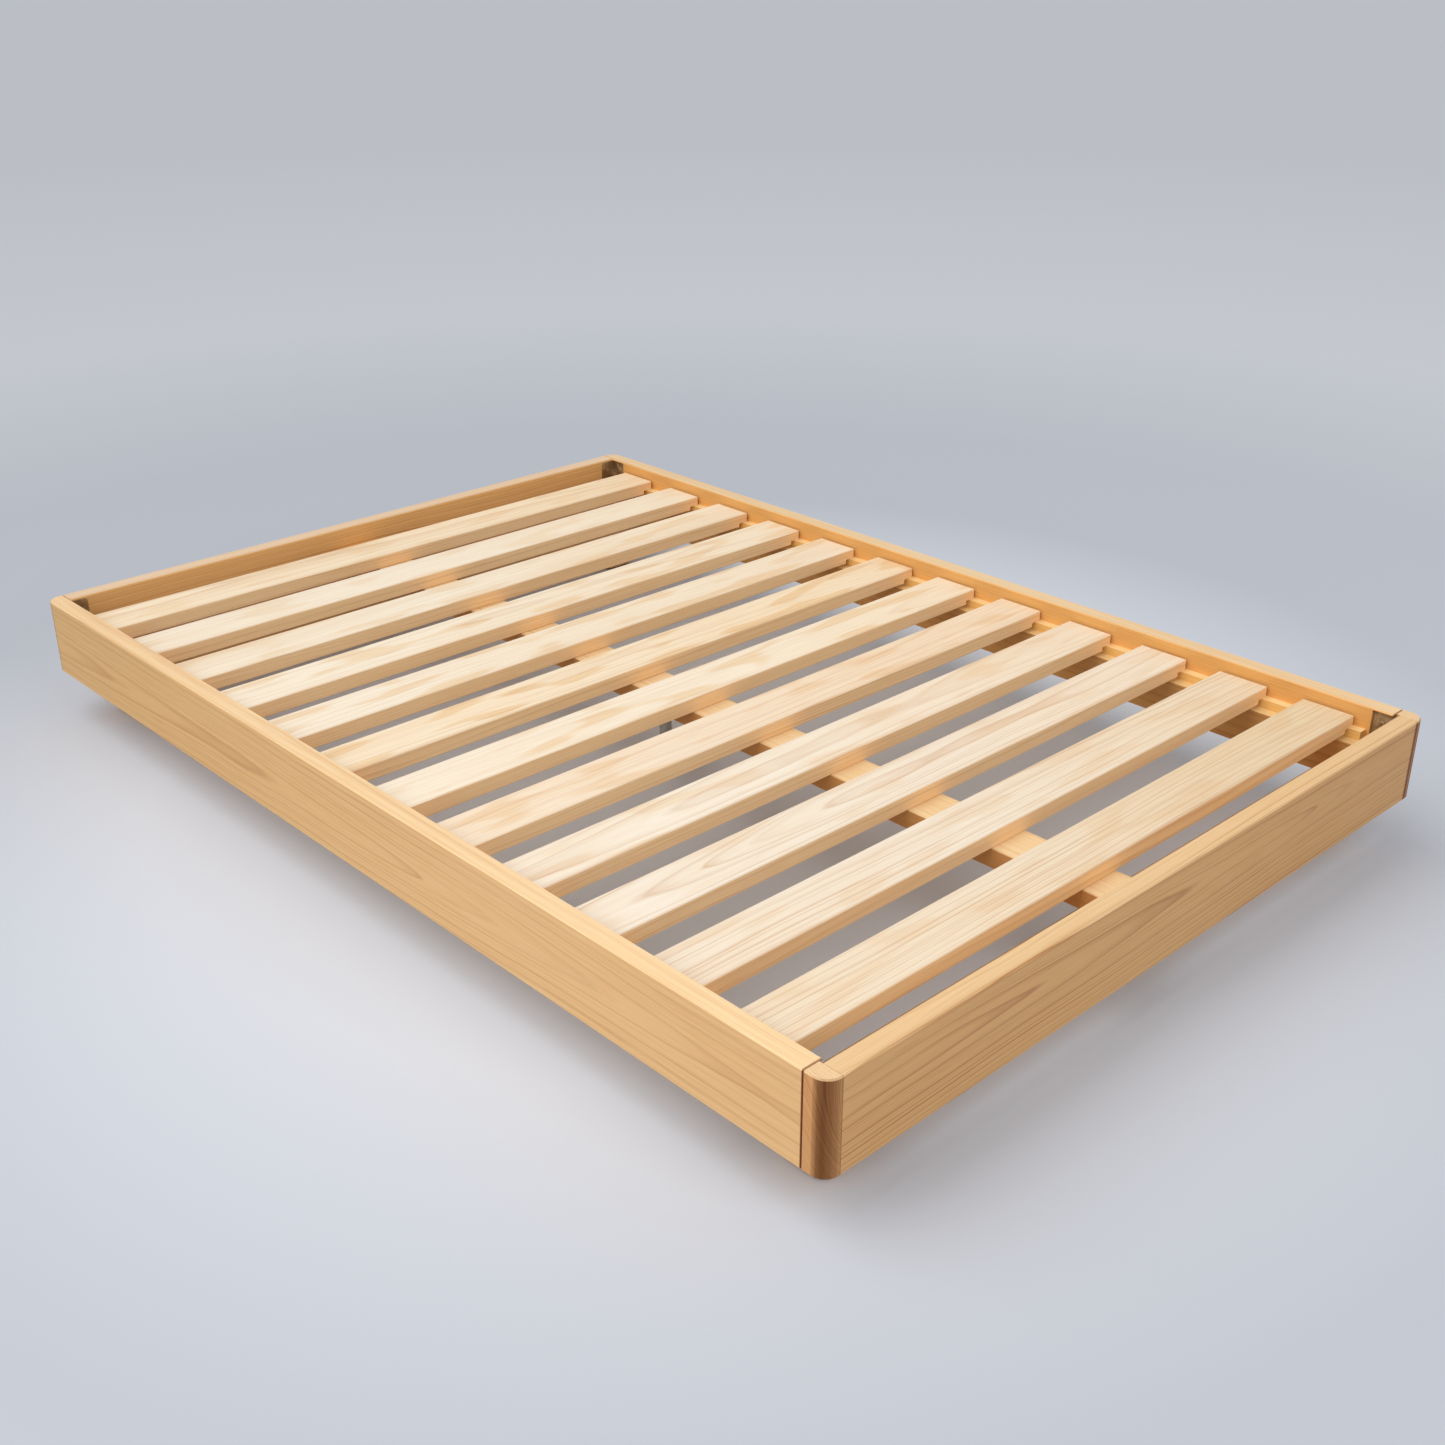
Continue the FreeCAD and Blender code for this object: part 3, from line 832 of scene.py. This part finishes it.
BEAM_TOP = Wood(Tint(252, 224, 176), Tint(232, 184, 122))
LEG_FACE = Wood(Tint(226, 180, 122), Tint(192, 138, 82))
BEECH = Wood(Tint(222, 184, 140), Tint(200, 158, 112))


@dataclass
class SideRails:
    """The two long boards on edge, rounded at the head."""

    corner: Pair = (0.690, 1.016)
    # how far below the slats' tops the painted gap shadow stops
    gap_shade_drop: float = 0.0045
    tones: dict[str, PineTone] = field(default_factory=lambda: {
        "left": PineTone(RAIL_FACE, ((Facing.UP, RAIL_TOP), (Facing.RIGHT, RAIL_INSIDE))),
        "right": PineTone(RAIL_FACE, ((Facing.UP, RIGHT_TOP), (Facing.LEFT, RAIL_INSIDE))),
    })
    cuts: dict[str, Cut] = field(default_factory=lambda: {
        "left": Cut(Axis.Y, (0.034, 0.006), (0.4, 0.6), 0.0042, 0.007, 0.58, 2.0),
        "right": Cut(Axis.Y, (-0.040, -0.006), (-0.4, -0.6), 0.0042, 0.007, 0.8, 9.0),
    })
    # painted shade: the left rail's outer face darkens towards the head, where less light falls
    drifts: dict[str, LightShadeDrift] = field(default_factory=lambda: {
        "left": LightShadeDrift(Facing.LEFT, Axis.Y, (-1.0, 1.0), Tint(247, 247, 237)),
    })

    def marks(self, inward: Facing) -> SlatGapShade:
        """Finds where the slats' ends stand.

        Args:
            inward: the way that the rail's inner face looks.

        Returns:
            The painted shadow in the gaps at their ends on that face.
        """
        low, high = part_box("slat_12")
        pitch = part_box("slat_11")[0].y - low.y
        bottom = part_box("left_slat_strip")[0].z
        return SlatGapShade(inward, low.y, pitch, high.y - low.y, bottom, high.z - self.gap_shade_drop)

    def dress(self) -> None:
        """Puts pine on both rails, with dark end grain and painted shade on their rounded ends, and
        painted shadow where the slats' ends stand.
        """
        inner_faces = {"left": Facing.RIGHT, "right": Facing.LEFT}
        for side, sign in SIDES:
            node = f"{side}_side_rail"
            pine_on(
                node,
                self.tones[side],
                self.cuts[side],
                drift=self.drifts.get(side),
                stain=CornerGrainAndShade((sign * self.corner[0], self.corner[1]), (sign, 1.0)),
                seams=(Seam(Axis.Y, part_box(node)[0].y),),
                marks=self.marks(inner_faces[side]),
            )


@dataclass
class EndRails:
    """The boards at the foot and the head."""

    tones: dict[str, PineTone] = field(default_factory=lambda: {
        "foot": PineTone(END_FACE, ((Facing.UP, FOOT_TOP), (Facing.HEAD, FOOT_INSIDE))),
        "head": PineTone(END_FACE, ((Facing.UP, HEAD_TOP), (Facing.FOOT, HEAD_INSIDE))),
    })
    cuts: dict[str, Cut] = field(default_factory=lambda: {
        "foot": Cut(Axis.X, (-0.024, 0.030), (0.9, 0.5), 0.0048, 0.009, 1.0, 4.0),
        "head": Cut(Axis.X, (-0.010, -0.050), (-0.5, 0.4), 0.0042, 0.008, 1.1, 14.0),
    })
    # painted shade: the foot rail's outer face darkens towards its right end
    drifts: dict[str, LightShadeDrift] = field(default_factory=lambda: {
        "foot": LightShadeDrift(Facing.FOOT, Axis.X, (0.0, 0.7), Tint(250, 248, 244)),
    })
    left_seam: float = 0.0007
    # the right joint's band, widened with painted shade of the rounded corner beside it
    right_shade_band: float = 0.009
    right_shade_tint: Tint = Tint(150, 110, 84)

    def foot_seams(self) -> tuple[Seam, ...]:
        """Finds the foot rail's joints with the posts.

        Returns:
            A fine dark joint on the left, and on the right a wide band: the dark joint widened with
            painted shade of the rounded corner beside it, not on top.
        """
        low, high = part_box("foot_rail")
        band = Seam(Axis.X, high.x, self.right_shade_band, self.right_shade_tint, 0.0)
        return (Seam(Axis.X, low.x, self.left_seam), band)

    def dress(self) -> None:
        """Puts pine on both rails."""
        seams = {"foot": self.foot_seams(), "head": ()}
        for end, tone in self.tones.items():
            drift = self.drifts.get(end)
            pine_on(f"{end}_rail", tone, self.cuts[end], drift=drift, seams=seams[end])


@dataclass
class CornerPosts:
    """The rounded blocks at the foot corners."""

    corner: Pair = (0.690, -1.016)
    tone: PineTone = PineTone(POST_FACE, ((Facing.UP, POST_TOP),), 0.6)
    cut: Cut = Cut(Axis.Z, (0.045, -0.045), (34.0, 0.0), 0.0030, 0.002, 0.6, 21.0)
    right_stops: tuple[Pair, ...] = (
        (0.0, 0.15), (0.3, 0.45), (0.5, 0.75), (0.68, 1.0), (0.86, 0.95), (0.95, 0.6), (1.0, 0.3)
    )

    def dress(self) -> None:
        """Puts pine on both posts, dark on the round with its end grain and painted shade."""
        for side, sign in SIDES:
            node = f"foot_{side}_post"
            stain = CornerGrainAndShade((sign * self.corner[0], self.corner[1]), (sign, -1.0))
            if side == "right":
                stain = replace(stain, stops=self.right_stops)
            seams = (Seam(Axis.Y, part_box(node)[1].y),)
            pine_on(node, self.tone, self.cut, stain=stain, seams=seams)


@dataclass
class SlatBase:
    """The twelve loose slats, counted from the head."""

    tone: PineTone = PineTone(
        SLAT_SIDE, ((Facing.UP, SLAT_TOP), (Facing.LEFT, END_GRAIN), (Facing.RIGHT, END_GRAIN)), 0.5
    )
    cuts: tuple[Cut, ...] = (
        Cut(Axis.X, (0.060, 0.030), (0.5, 0.3), 0.0070, 0.006, 0.45, 31.0),
        Cut(Axis.X, (0.090, -0.020), (0.4, 0.4), 0.0080, 0.006, 0.40, 33.0),
        Cut(Axis.X, (0.045, 0.045), (0.3, -0.5), 0.0070, 0.007, 0.45, 35.0),
        Cut(Axis.X, (0.080, 0.010), (-0.4, 0.3), 0.0075, 0.006, 0.40, 37.0),
        Cut(Axis.X, (0.070, -0.040), (0.6, 0.2), 0.0070, 0.007, 0.40, 39.0),
        Cut(Axis.X, (0.055, 0.020), (0.3, 0.6), 0.0070, 0.008, 0.45, 41.0),
        Cut(Axis.X, (0.075, -0.015), (-0.5, 0.5), 0.0070, 0.007, 0.38, 44.0),
        Cut(Axis.X, (0.060, 0.050), (0.4, -0.4), 0.0065, 0.008, 0.45, 45.0),
        Cut(Axis.X, (0.085, 0.005), (0.6, 0.5), 0.0070, 0.007, 0.50, 47.0),
        Cut(Axis.X, (0.040, 0.010), (0.9, 0.4), 0.0065, 0.010, 0.62, 49.0),
        Cut(Axis.X, (0.050, 0.070), (0.3, 0.7), 0.0078, 0.008, 0.62, 51.0),
        Cut(Axis.X, (0.045, 0.080), (0.2, 0.6), 0.0078, 0.008, 0.70, 53.0),
    )
    patches: tuple[Patches, ...] = (
        Patches(0.25, 0.75),
        Patches(0.3, 0.08),
        Patches(0.35, 0.27),
        Patches(0.5, 0.25),
        Patches(0.55, 0.15),
        Patches(0.6, 0.65),
        Patches(0.55, 0.2),
        Patches(0.45, 1.0, shade=Tint(252, 244, 236)),
        Patches(0.35, 1.0, shade=Tint(252, 251, 251)),
        Patches(0.25, 1.0, shade=Tint(249, 247, 247)),
        Patches(0.25, 1.0, shade=Tint(247, 244, 242), right_bounce_tint=Tint(251, 243, 230)),
        Patches(0.25, 1.0, shade=Tint(244, 238, 230), right_bounce_tint=Tint(247, 238, 222)),
    )

    def dress(self) -> None:
        """Puts on each slat the pine of its own cut."""
        for index, (cut, patches) in enumerate(zip(self.cuts, self.patches), 1):
            pine_on(f"slat_{index:02d}", self.tone, cut, patches=patches)


@dataclass
class Ledges:
    """The ledgers inside the side rails, and the paler strips that the slats hook over."""

    ledger_tone: PineTone = PineTone(LEDGER_FACE, ((Facing.UP, LEDGE_TOP),), 0.55)
    strip_tone: PineTone = PineTone(STRIP_FACE, ((Facing.UP, LEDGE_TOP),), 0.55)
    ledger_cut: Cut = Cut(Axis.Y, (0.070, 0.040), (0.3, 0.3), 0.007, 0.006, 0.6)
    strip_cut: Cut = Cut(Axis.Y, (0.050, 0.060), (0.2, 0.3), 0.007, 0.005, 0.5)
    ledger_seeds: dict[str, float] = field(default_factory=lambda: {"left": 61.0, "right": 67.0})
    strip_seeds: dict[str, float] = field(default_factory=lambda: {"left": 63.0, "right": 69.0})

    def dress(self) -> None:
        """Puts amber pine on all four."""
        for side, _ in SIDES:
            cut = replace(self.ledger_cut, seed=self.ledger_seeds[side])
            pine_on(f"{side}_ledger", self.ledger_tone, cut)
            cut = replace(self.strip_cut, seed=self.strip_seeds[side])
            pine_on(f"{side}_slat_strip", self.strip_tone, cut)


@dataclass
class CentreSupport:
    """The flat beam under the slats and its cleats."""

    tone: PineTone = PineTone(BEAM_FACE, ((Facing.UP, BEAM_TOP),), 0.6)
    cuts: dict[str, Cut] = field(default_factory=lambda: {
        "centre_beam": Cut(Axis.Y, (0.060, 0.030), (0.3, 0.3), 0.008, 0.006, 0.6, 71.0),
        "foot_beam_cleat": Cut(Axis.X, (0.050, 0.020), (0.4, 0.4), 0.006, 0.005, 0.6, 73.0),
        "head_beam_cleat": Cut(Axis.X, (0.040, 0.030), (0.4, 0.4), 0.006, 0.005, 0.6, 75.0),
    })

    def dress(self) -> None:
        """Puts pine on the beam and the cleats."""
        for node, cut in self.cuts.items():
            pine_on(node, self.tone, cut)


@dataclass
class LegSets:
    """The bearers, the legs under them and the felt under every leg."""

    tone: PineTone = PineTone(LEG_FACE, (), 0.55)
    felt: FeltFinish = FeltFinish()
    bearer_cut: Cut = Cut(Axis.X, (0.060, 0.020), (0.4, 0.4), 0.007, 0.008, 0.6)
    bearer_seeds: dict[str, float] = field(default_factory=lambda: {"foot": 81.0, "head": 82.0})
    leg_cut: Cut = Cut(Axis.Z, (0.030, 0.050), (0.8, 0.6), 0.006, 0.004, 0.6)
    leg_seeds: dict[str, float] = field(default_factory=lambda: {
        "foot_left_leg": 85.0,
        "foot_right_leg": 86.0,
        "head_left_leg": 87.0,
        "head_right_leg": 88.0,
    })

    def dress(self) -> None:
        """Puts pine on the bearers and legs, and felt on the pads."""
        felt = self.felt.dress("felt_pad")
        put_on("centre_leg_pad", felt)
        for end, seed in self.bearer_seeds.items():
            pine_on(f"{end}_bearer", self.tone, replace(self.bearer_cut, seed=seed))
        for node, seed in self.leg_seeds.items():
            pine_on(node, self.tone, replace(self.leg_cut, seed=seed))
            put_on(node + "_pad", felt)


@dataclass(frozen=True)
class ScrewForm:
    """One wood screw, its axis along Z and its head at the origin, in metres.

    The head's rings are shares of its radius. The taper, and the tip's radius and rise over the
    point, are shares of the shank's radius.
    """

    length: float
    rise: float = 0.0025
    shank: float = 0.0025
    head: float = 0.005
    arm: float = 0.0027
    slot: float = 0.0007
    depth: float = 0.0014
    neck_gap: float = 0.001
    sides: int = 48
    shank_rings: int = 9
    head_shares: tuple[float, ...] = (
        0.06, 0.16, 0.28, 0.40, 0.50, 0.60, 0.72, 0.84, 0.93, 0.98
    )
    taper_share: float = 2.0
    tip_share: float = 0.5
    tip_rise_share: float = 0.8

    def profile(self) -> np.ndarray:
        """Draws the half outline from the head's middle to the point.

        A pan head rises as an ellipse: its height is the rise times the root of one less the
        squared share of the radius. A flush head has no rise and narrows below the surface.

        Returns:
            Rows of radius and height.
        """
        across = self.head * np.array(self.head_shares)
        dome = self.rise * np.sqrt(1 - (across / self.head) ** 2)
        top = np.stack([across, dome], 1)
        neck = 0.0 if self.rise else self.shank - self.head
        rim = np.array([[self.head, 0.0], [self.shank, neck]])
        foot = self.taper_share * self.shank - self.length
        heights = np.linspace(neck - self.neck_gap, foot, self.shank_rings)
        shank = np.stack([np.full_like(heights, self.shank), heights], 1)
        tip_height = self.tip_rise_share * self.shank - self.length
        tip = np.array([[self.tip_share * self.shank, tip_height]])
        return np.concatenate([top, rim, shank, tip])

    def surface(self) -> tuple[np.ndarray, np.ndarray]:
        """Turns the profile about Z, sinks a cross into the head and closes both poles.

        The cross is as deep as the depth where a point lies in either of two arms, and eases out
        over half the slot's width.

        Returns:
            The corners, and the triangles as rows of corner numbers.
        """
        profile = self.profile()
        angle = np.linspace(0, 2 * np.pi, self.sides, endpoint=False)
        x = profile[:, :1] * np.cos(angle)
        y = profile[:, :1] * np.sin(angle)
        z = np.repeat(profile[:, 1:], self.sides, 1)
        near = np.minimum(np.abs(x), np.abs(y))
        far = np.maximum(np.abs(x), np.abs(y))
        soft = self.slot / 2
        in_slot = np.clip((self.slot + soft - near) / soft, 0, 1)
        in_arm = np.clip((self.arm - far) / soft, 0, 1)
        on_head = (np.arange(len(profile)) < len(self.head_shares))[:, None]
        z = z - self.depth * in_slot * in_arm * on_head
        ring = np.stack([x, y, z], -1).reshape(-1, 3)
        poles = np.array([[0, 0, self.rise - self.depth], [0, 0, -self.length]])
        first = np.arange(self.sides)
        after = (first + 1) % self.sides
        start = np.arange(len(profile) - 1)[:, None] * self.sides
        a, b = start + first, start + after
        c, d = b + self.sides, a + self.sides
        last = (len(profile) - 1) * self.sides
        top, tip = len(ring), len(ring) + 1
        faces = np.concatenate([
            np.stack([a, d, c], -1).reshape(-1, 3),
            np.stack([a, c, b], -1).reshape(-1, 3),
            np.stack([first, after, np.full_like(first, top)], -1),
            np.stack([after + last, first + last, np.full_like(first, tip)], -1),
        ])
        return np.concatenate([ring, poles]), faces


@dataclass
class Fasteners:
    """The steel angles with their screws, the screws that hold the wood, the steel leg and dowels.

    Each screw is turned further than the one before it by the spin, in radians. One whose way
    rises or falls by more than the steep share counts as upright. Edges sharper than an angle in
    degrees stay sharp.
    """

    bracket_leg: float = 0.040
    bracket_plate: float = 0.003
    bracket_reach_share: float = 0.6
    bracket_height_shares: Pair = (0.25, 0.75)
    ledger_shares: Triple = (0.06, 0.5, 0.94)
    cleat_gap: float = 0.080
    spin: float = 2.4
    steep: float = 0.9
    sharp: float = 35.0
    forms: dict[str, ScrewForm] = field(default_factory=lambda: {
        "bracket_screws": ScrewForm(0.019),
        "ledger_screws": ScrewForm(0.058, rise=0.0),
        "bearer_screws": ScrewForm(0.055),
        "leg_screws": ScrewForm(0.060),
        "cleat_screws": ScrewForm(0.050),
    })
    bronze: SteelFinish = SteelFinish(Tint(138, 106, 66), Tint(222, 192, 146), 0.35, 0.48)
    zinc: SteelFinish = SteelFinish(Tint(176, 172, 160), Tint(206, 204, 196), 0.95, 0.34)
    dowel_cut: Cut = Cut(Axis.X, (0.050, 0.020), ring=0.004, line=0.3, seed=91.0)

    def made(self, name: str, form: ScrewForm, seats: list[Seat]) -> bpy.types.Object:
        """Sets one screw at each seat.

        A screw's own axes are the way that it looks, a way square to it, turned by the spin, and
        the way square to both. Its corners are carried along them and moved to its seat.

        Args:
            name: the new piece's name.
            form: the screw's shape.
            seats: where each head sits on the surface, and the way that it looks.

        Returns:
            The new piece, with all the screws in one mesh.
        """
        places, ways = np.array(seats, float).transpose(1, 0, 2)
        corners, faces = form.surface()
        helper = np.where(np.abs(ways[:, 2:]) > self.steep, [Axis.X.value], [Axis.Z.value])
        side = np.cross(helper, ways)
        other = np.cross(ways, side)
        spin = self.spin * np.arange(len(places))[:, None]
        turned = np.cos(spin) * side + np.sin(spin) * other
        basis = np.stack([turned, np.cross(ways, turned), ways], -1)
        points = np.einsum("pij,vj->pvi", basis, corners) + places[:, None, :]
        index = faces[None] + (np.arange(len(places)) * len(corners))[:, None, None]
        mesh = bpy.data.meshes.new(name)
        mesh.from_pydata(points.reshape(-1, 3).tolist(), [], index.reshape(-1, 3).tolist())
        mesh.shade_smooth()
        mesh.set_sharp_from_angle(angle=math.radians(self.sharp))
        piece = bpy.data.objects.new(name, mesh)
        bpy.context.scene.collection.objects.link(piece)
        return piece

    def bracket_seats(self) -> list[Seat]:
        """Finds the seats of the angles' screws, two in each wing.

        Returns:
            The seats.
        """
        seats = []
        reach = self.bracket_reach_share * self.bracket_leg
        for end, sign_y in ENDS:
            for side, sign_x in SIDES:
                low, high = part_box(f"{end}_{side}_bracket")
                back_x = low.x if sign_x < 0 else high.x
                back_y = low.y if sign_y < 0 else high.y
                for share in self.bracket_height_shares:
                    height = high.z - share * (high.z - low.z)
                    place = (back_x - sign_x * self.bracket_plate, back_y - sign_y * reach, height)
                    seats.append((place, (-sign_x, 0, 0)))
                    place = (back_x - sign_x * reach, back_y - sign_y * self.bracket_plate, height)
                    seats.append((place, (0, -sign_y, 0)))
        return seats

    def ledger_seats(self) -> list[Seat]:
        """Finds the seats of the screws that hold the ledgers to the side rails.

        Returns:
            The seats.
        """
        seats = []
        for side, sign in SIDES:
            low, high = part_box(f"{side}_ledger")
            face = high.x if sign < 0 else low.x
            for share in self.ledger_shares:
                place = (face, low.y + share * (high.y - low.y), (low.z + high.z) / 2)
                seats.append((place, (-sign, 0, 0)))
        return seats

    def bearer_seats(self) -> list[Seat]:
        """Finds the seats of the screws up through the bearers into the ledgers.

        Returns:
            The seats.
        """
        seats = []
        for end, _ in ENDS:
            for side, _ in SIDES:
                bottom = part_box(f"{end}_bearer")[0].z
                place = (middle_of(f"{side}_ledger").x, middle_of(f"{end}_bearer").y, bottom)
                seats.append((place, (0, 0, -1)))
        return seats

    def leg_seats(self) -> list[Seat]:
        """Finds the seats of the screws down through the bearers into the legs.

        Returns:
            The seats.
        """
        seats = []
        for end, _ in ENDS:
            for side, _ in SIDES:
                leg = middle_of(f"{end}_{side}_leg")
                seats.append(((leg.x, leg.y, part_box(f"{end}_bearer")[1].z), (0, 0, 1)))
        return seats

    def cleat_seats(self) -> list[Seat]:
        """Finds the seats of the screws that hold the cleats to the end rails.

        Returns:
            The seats.
        """
        seats = []
        for end, sign in ENDS:
            low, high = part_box(f"{end}_beam_cleat")
            middle = (low + high) / 2
            face = high.y if sign < 0 else low.y
            for step in (-0.5, 0.5):
                seats.append(((middle.x + step * self.cleat_gap, face, middle.z), (0, -sign, 0)))
        return seats

    def finished(
        self, piece: bpy.types.Object, node: str, slot: str, material: bpy.types.Material
    ) -> None:
        """Dresses a group of screws and lets it stand for its CAD node.

        Args:
            piece: the screws.
            node: the CAD node that they stand for.
            slot: not used.
            material: the screws' material.
        """
        piece.data.materials.append(material)
        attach(piece, "frame")
        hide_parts(node)
        LOG.info("made %s", piece.name)

    def dress(self) -> None:
        """Puts steel on the angles and the leg, sets the turned screws and dresses the dowels."""
        bronze = self.bronze.dress("bronze_steel")
        zinc = self.zinc.dress("zinc_steel")
        for end, _ in ENDS:
            for side, _ in SIDES:
                put_on(f"{end}_{side}_bracket", bronze)
        put_on("centre_leg", zinc)
        screws = self.made("angle_screws", self.forms["bracket_screws"], self.bracket_seats())
        self.finished(screws, "bracket_screws", "bronze_steel", bronze)
        seats = {
            "ledger_screws": self.ledger_seats(),
            "bearer_screws": self.bearer_seats(),
            "leg_screws": self.leg_seats(),
            "cleat_screws": self.cleat_seats(),
        }
        for node, spots in seats.items():
            screws = self.made("turned_" + node, self.forms[node], spots)
            self.finished(screws, node, "zinc_steel", zinc)
        beech = PineFinish(PineTone(BEECH), self.dowel_cut, middle_of("corner_dowels"))
        put_on("corner_dowels", beech.dress("beech_dowel"))


@dataclass
class Floor:
    """The floor, a wide disc whose grey follows the distance from the bed's middle, in metres.

    The grey paints a pool of light round the bed: palest near it, darkest from 1.6 to 2.3 m out,
    paler again beyond.
    """

    reach: float = 60.0
    sides: int = 64
    roughness: float = 0.9
    rings: tuple[tuple[float, Tint], ...] = (
        (0.0, Tint(215, 219, 226)),
        (0.95, Tint(214, 218, 226)),
        (1.4, Tint(196, 200, 208)),
        (1.6, Tint(188, 192, 200)),
        (2.3, Tint(189, 192, 200)),
        (3.9, Tint(203, 206, 212)),
        (9.0, Tint(196, 199, 205)),
    )

    def greys(self, desk: NodeDesk) -> Socket:
        """Colours the floor.

        Args:
            desk: the material's nodes.

        Returns:
            The floor's grey.
        """
        edge = self.rings[-1][0]
        stops = [(distance / edge, tint.light()) for distance, tint in self.rings]
        share = desk.sum("DIVIDE", desk.length(desk.place()), edge)
        return desk.ramp(share, stops, Easing.STRAIGHT)

    def build(self) -> None:
        """Lays the disc: its edge is a circle of points as far from the origin as it reaches."""
        desk = NodeDesk("studio_floor")
        inputs = {"Base Color": self.greys(desk), "Roughness": self.roughness}
        material = desk.finished({**inputs, "Specular IOR Level": 0.0})
        angle = np.linspace(0, 2 * np.pi, self.sides, endpoint=False)
        edge = self.reach * np.stack([np.cos(angle), np.sin(angle), np.zeros_like(angle)], 1)
        mesh = bpy.data.meshes.new("studio_floor")
        mesh.from_pydata(edge.tolist(), [], [list(range(len(edge)))])
        mesh.materials.append(material)
        disc = bpy.data.objects.new("studio_floor", mesh)
        bpy.context.scene.collection.objects.link(disc)
        LOG.info("laid the floor")


@dataclass(frozen=True)
class Panel:
    """One soft lamp that faces the bed, in watts and metres."""

    name: str
    power: float
    place: Triple
    size: float


@dataclass
class Lights:
    """An even sky, one soft key lamp from the upper left, its width in degrees, and fill panels."""

    sky: float = 0.55
    sky_light: Colour = (0.95, 0.97, 1.0, 1.0)
    key: float = 1.5
    key_light: Triple = (1.0, 0.985, 0.96)
    key_from: Triple = (-0.484, 0.373, 0.79)
    key_angle: float = 66.0
    panels: tuple[Panel, ...] = (
        Panel("left_panel", 10.0, (-2.5, -0.8, 1.5), 1.8),
        Panel("foot_panel", 46.0, (-0.6, -4.6, 3.0), 2.4),
    )

    def hung(self, lamp: bpy.types.Light, source: Triple) -> bpy.types.Object:
        """Turns a lamp to the bed.

        Args:
            lamp: the lamp.
            source: the way that its light comes from.

        Returns:
            The lamp's object, at the origin.
        """
        holder = bpy.data.objects.new(lamp.name, lamp)
        holder.rotation_euler = Vector(source).to_track_quat("Z", "Y").to_euler()
        bpy.context.scene.collection.objects.link(holder)
        return holder

    def build(self) -> None:
        """Sets the sky and hangs the lamps."""
        world = bpy.data.worlds.new("studio_sky")
        world.use_nodes = True
        shade = world.node_tree.nodes["Background"]
        shade.inputs["Color"].default_value = self.sky_light
        shade.inputs["Strength"].default_value = self.sky
        bpy.context.scene.world = world
        lamp = bpy.data.lights.new("soft_key", "SUN")
        lamp.energy = self.key
        lamp.angle = math.radians(self.key_angle)
        lamp.color = self.key_light
        self.hung(lamp, self.key_from)
        for panel in self.panels:
            lamp = bpy.data.lights.new(panel.name, "AREA")
            lamp.energy = panel.power
            lamp.size = panel.size
            holder = self.hung(lamp, panel.place)
            holder.location = panel.place
            holder.visible_camera = False
        LOG.info("hung %d lamps", 1 + len(self.panels))


@dataclass
class Viewpoint:
    """The camera where the picture was taken from, in metres, degrees and millimetres of lens."""

    eye: Triple = (-1.8801, -2.1074, 1.4338)
    turn: Triple = (64.593, 0.055, -43.251)
    lens: float = 42.722
    sensor: float = 36.0
    sight: float = 200.0

    def build(self) -> None:
        """Sets the camera and plain colours."""
        glass = bpy.data.cameras.new("picture")
        glass.lens = self.lens
        glass.sensor_width = self.sensor
        glass.clip_end = self.sight
        eye = bpy.data.objects.new("picture", glass)
        eye.location = self.eye
        eye.rotation_euler = [math.radians(angle) for angle in self.turn]
        bpy.context.scene.collection.objects.link(eye)
        bpy.context.scene.camera = eye
        bpy.context.scene.view_settings.view_transform = "Standard"
        LOG.info("set the camera")


def main() -> None:
    """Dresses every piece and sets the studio."""
    logging.basicConfig(level=logging.INFO, format="%(name)s: %(message)s")
    boards = (SideRails(), EndRails(), CornerPosts(), SlatBase(), Ledges())
    for group in (*boards, CentreSupport(), LegSets(), Fasteners()):
        group.dress()
    for stand in (Floor(), Lights(), Viewpoint()):
        stand.build()


if __name__ == "__main__":
    main()
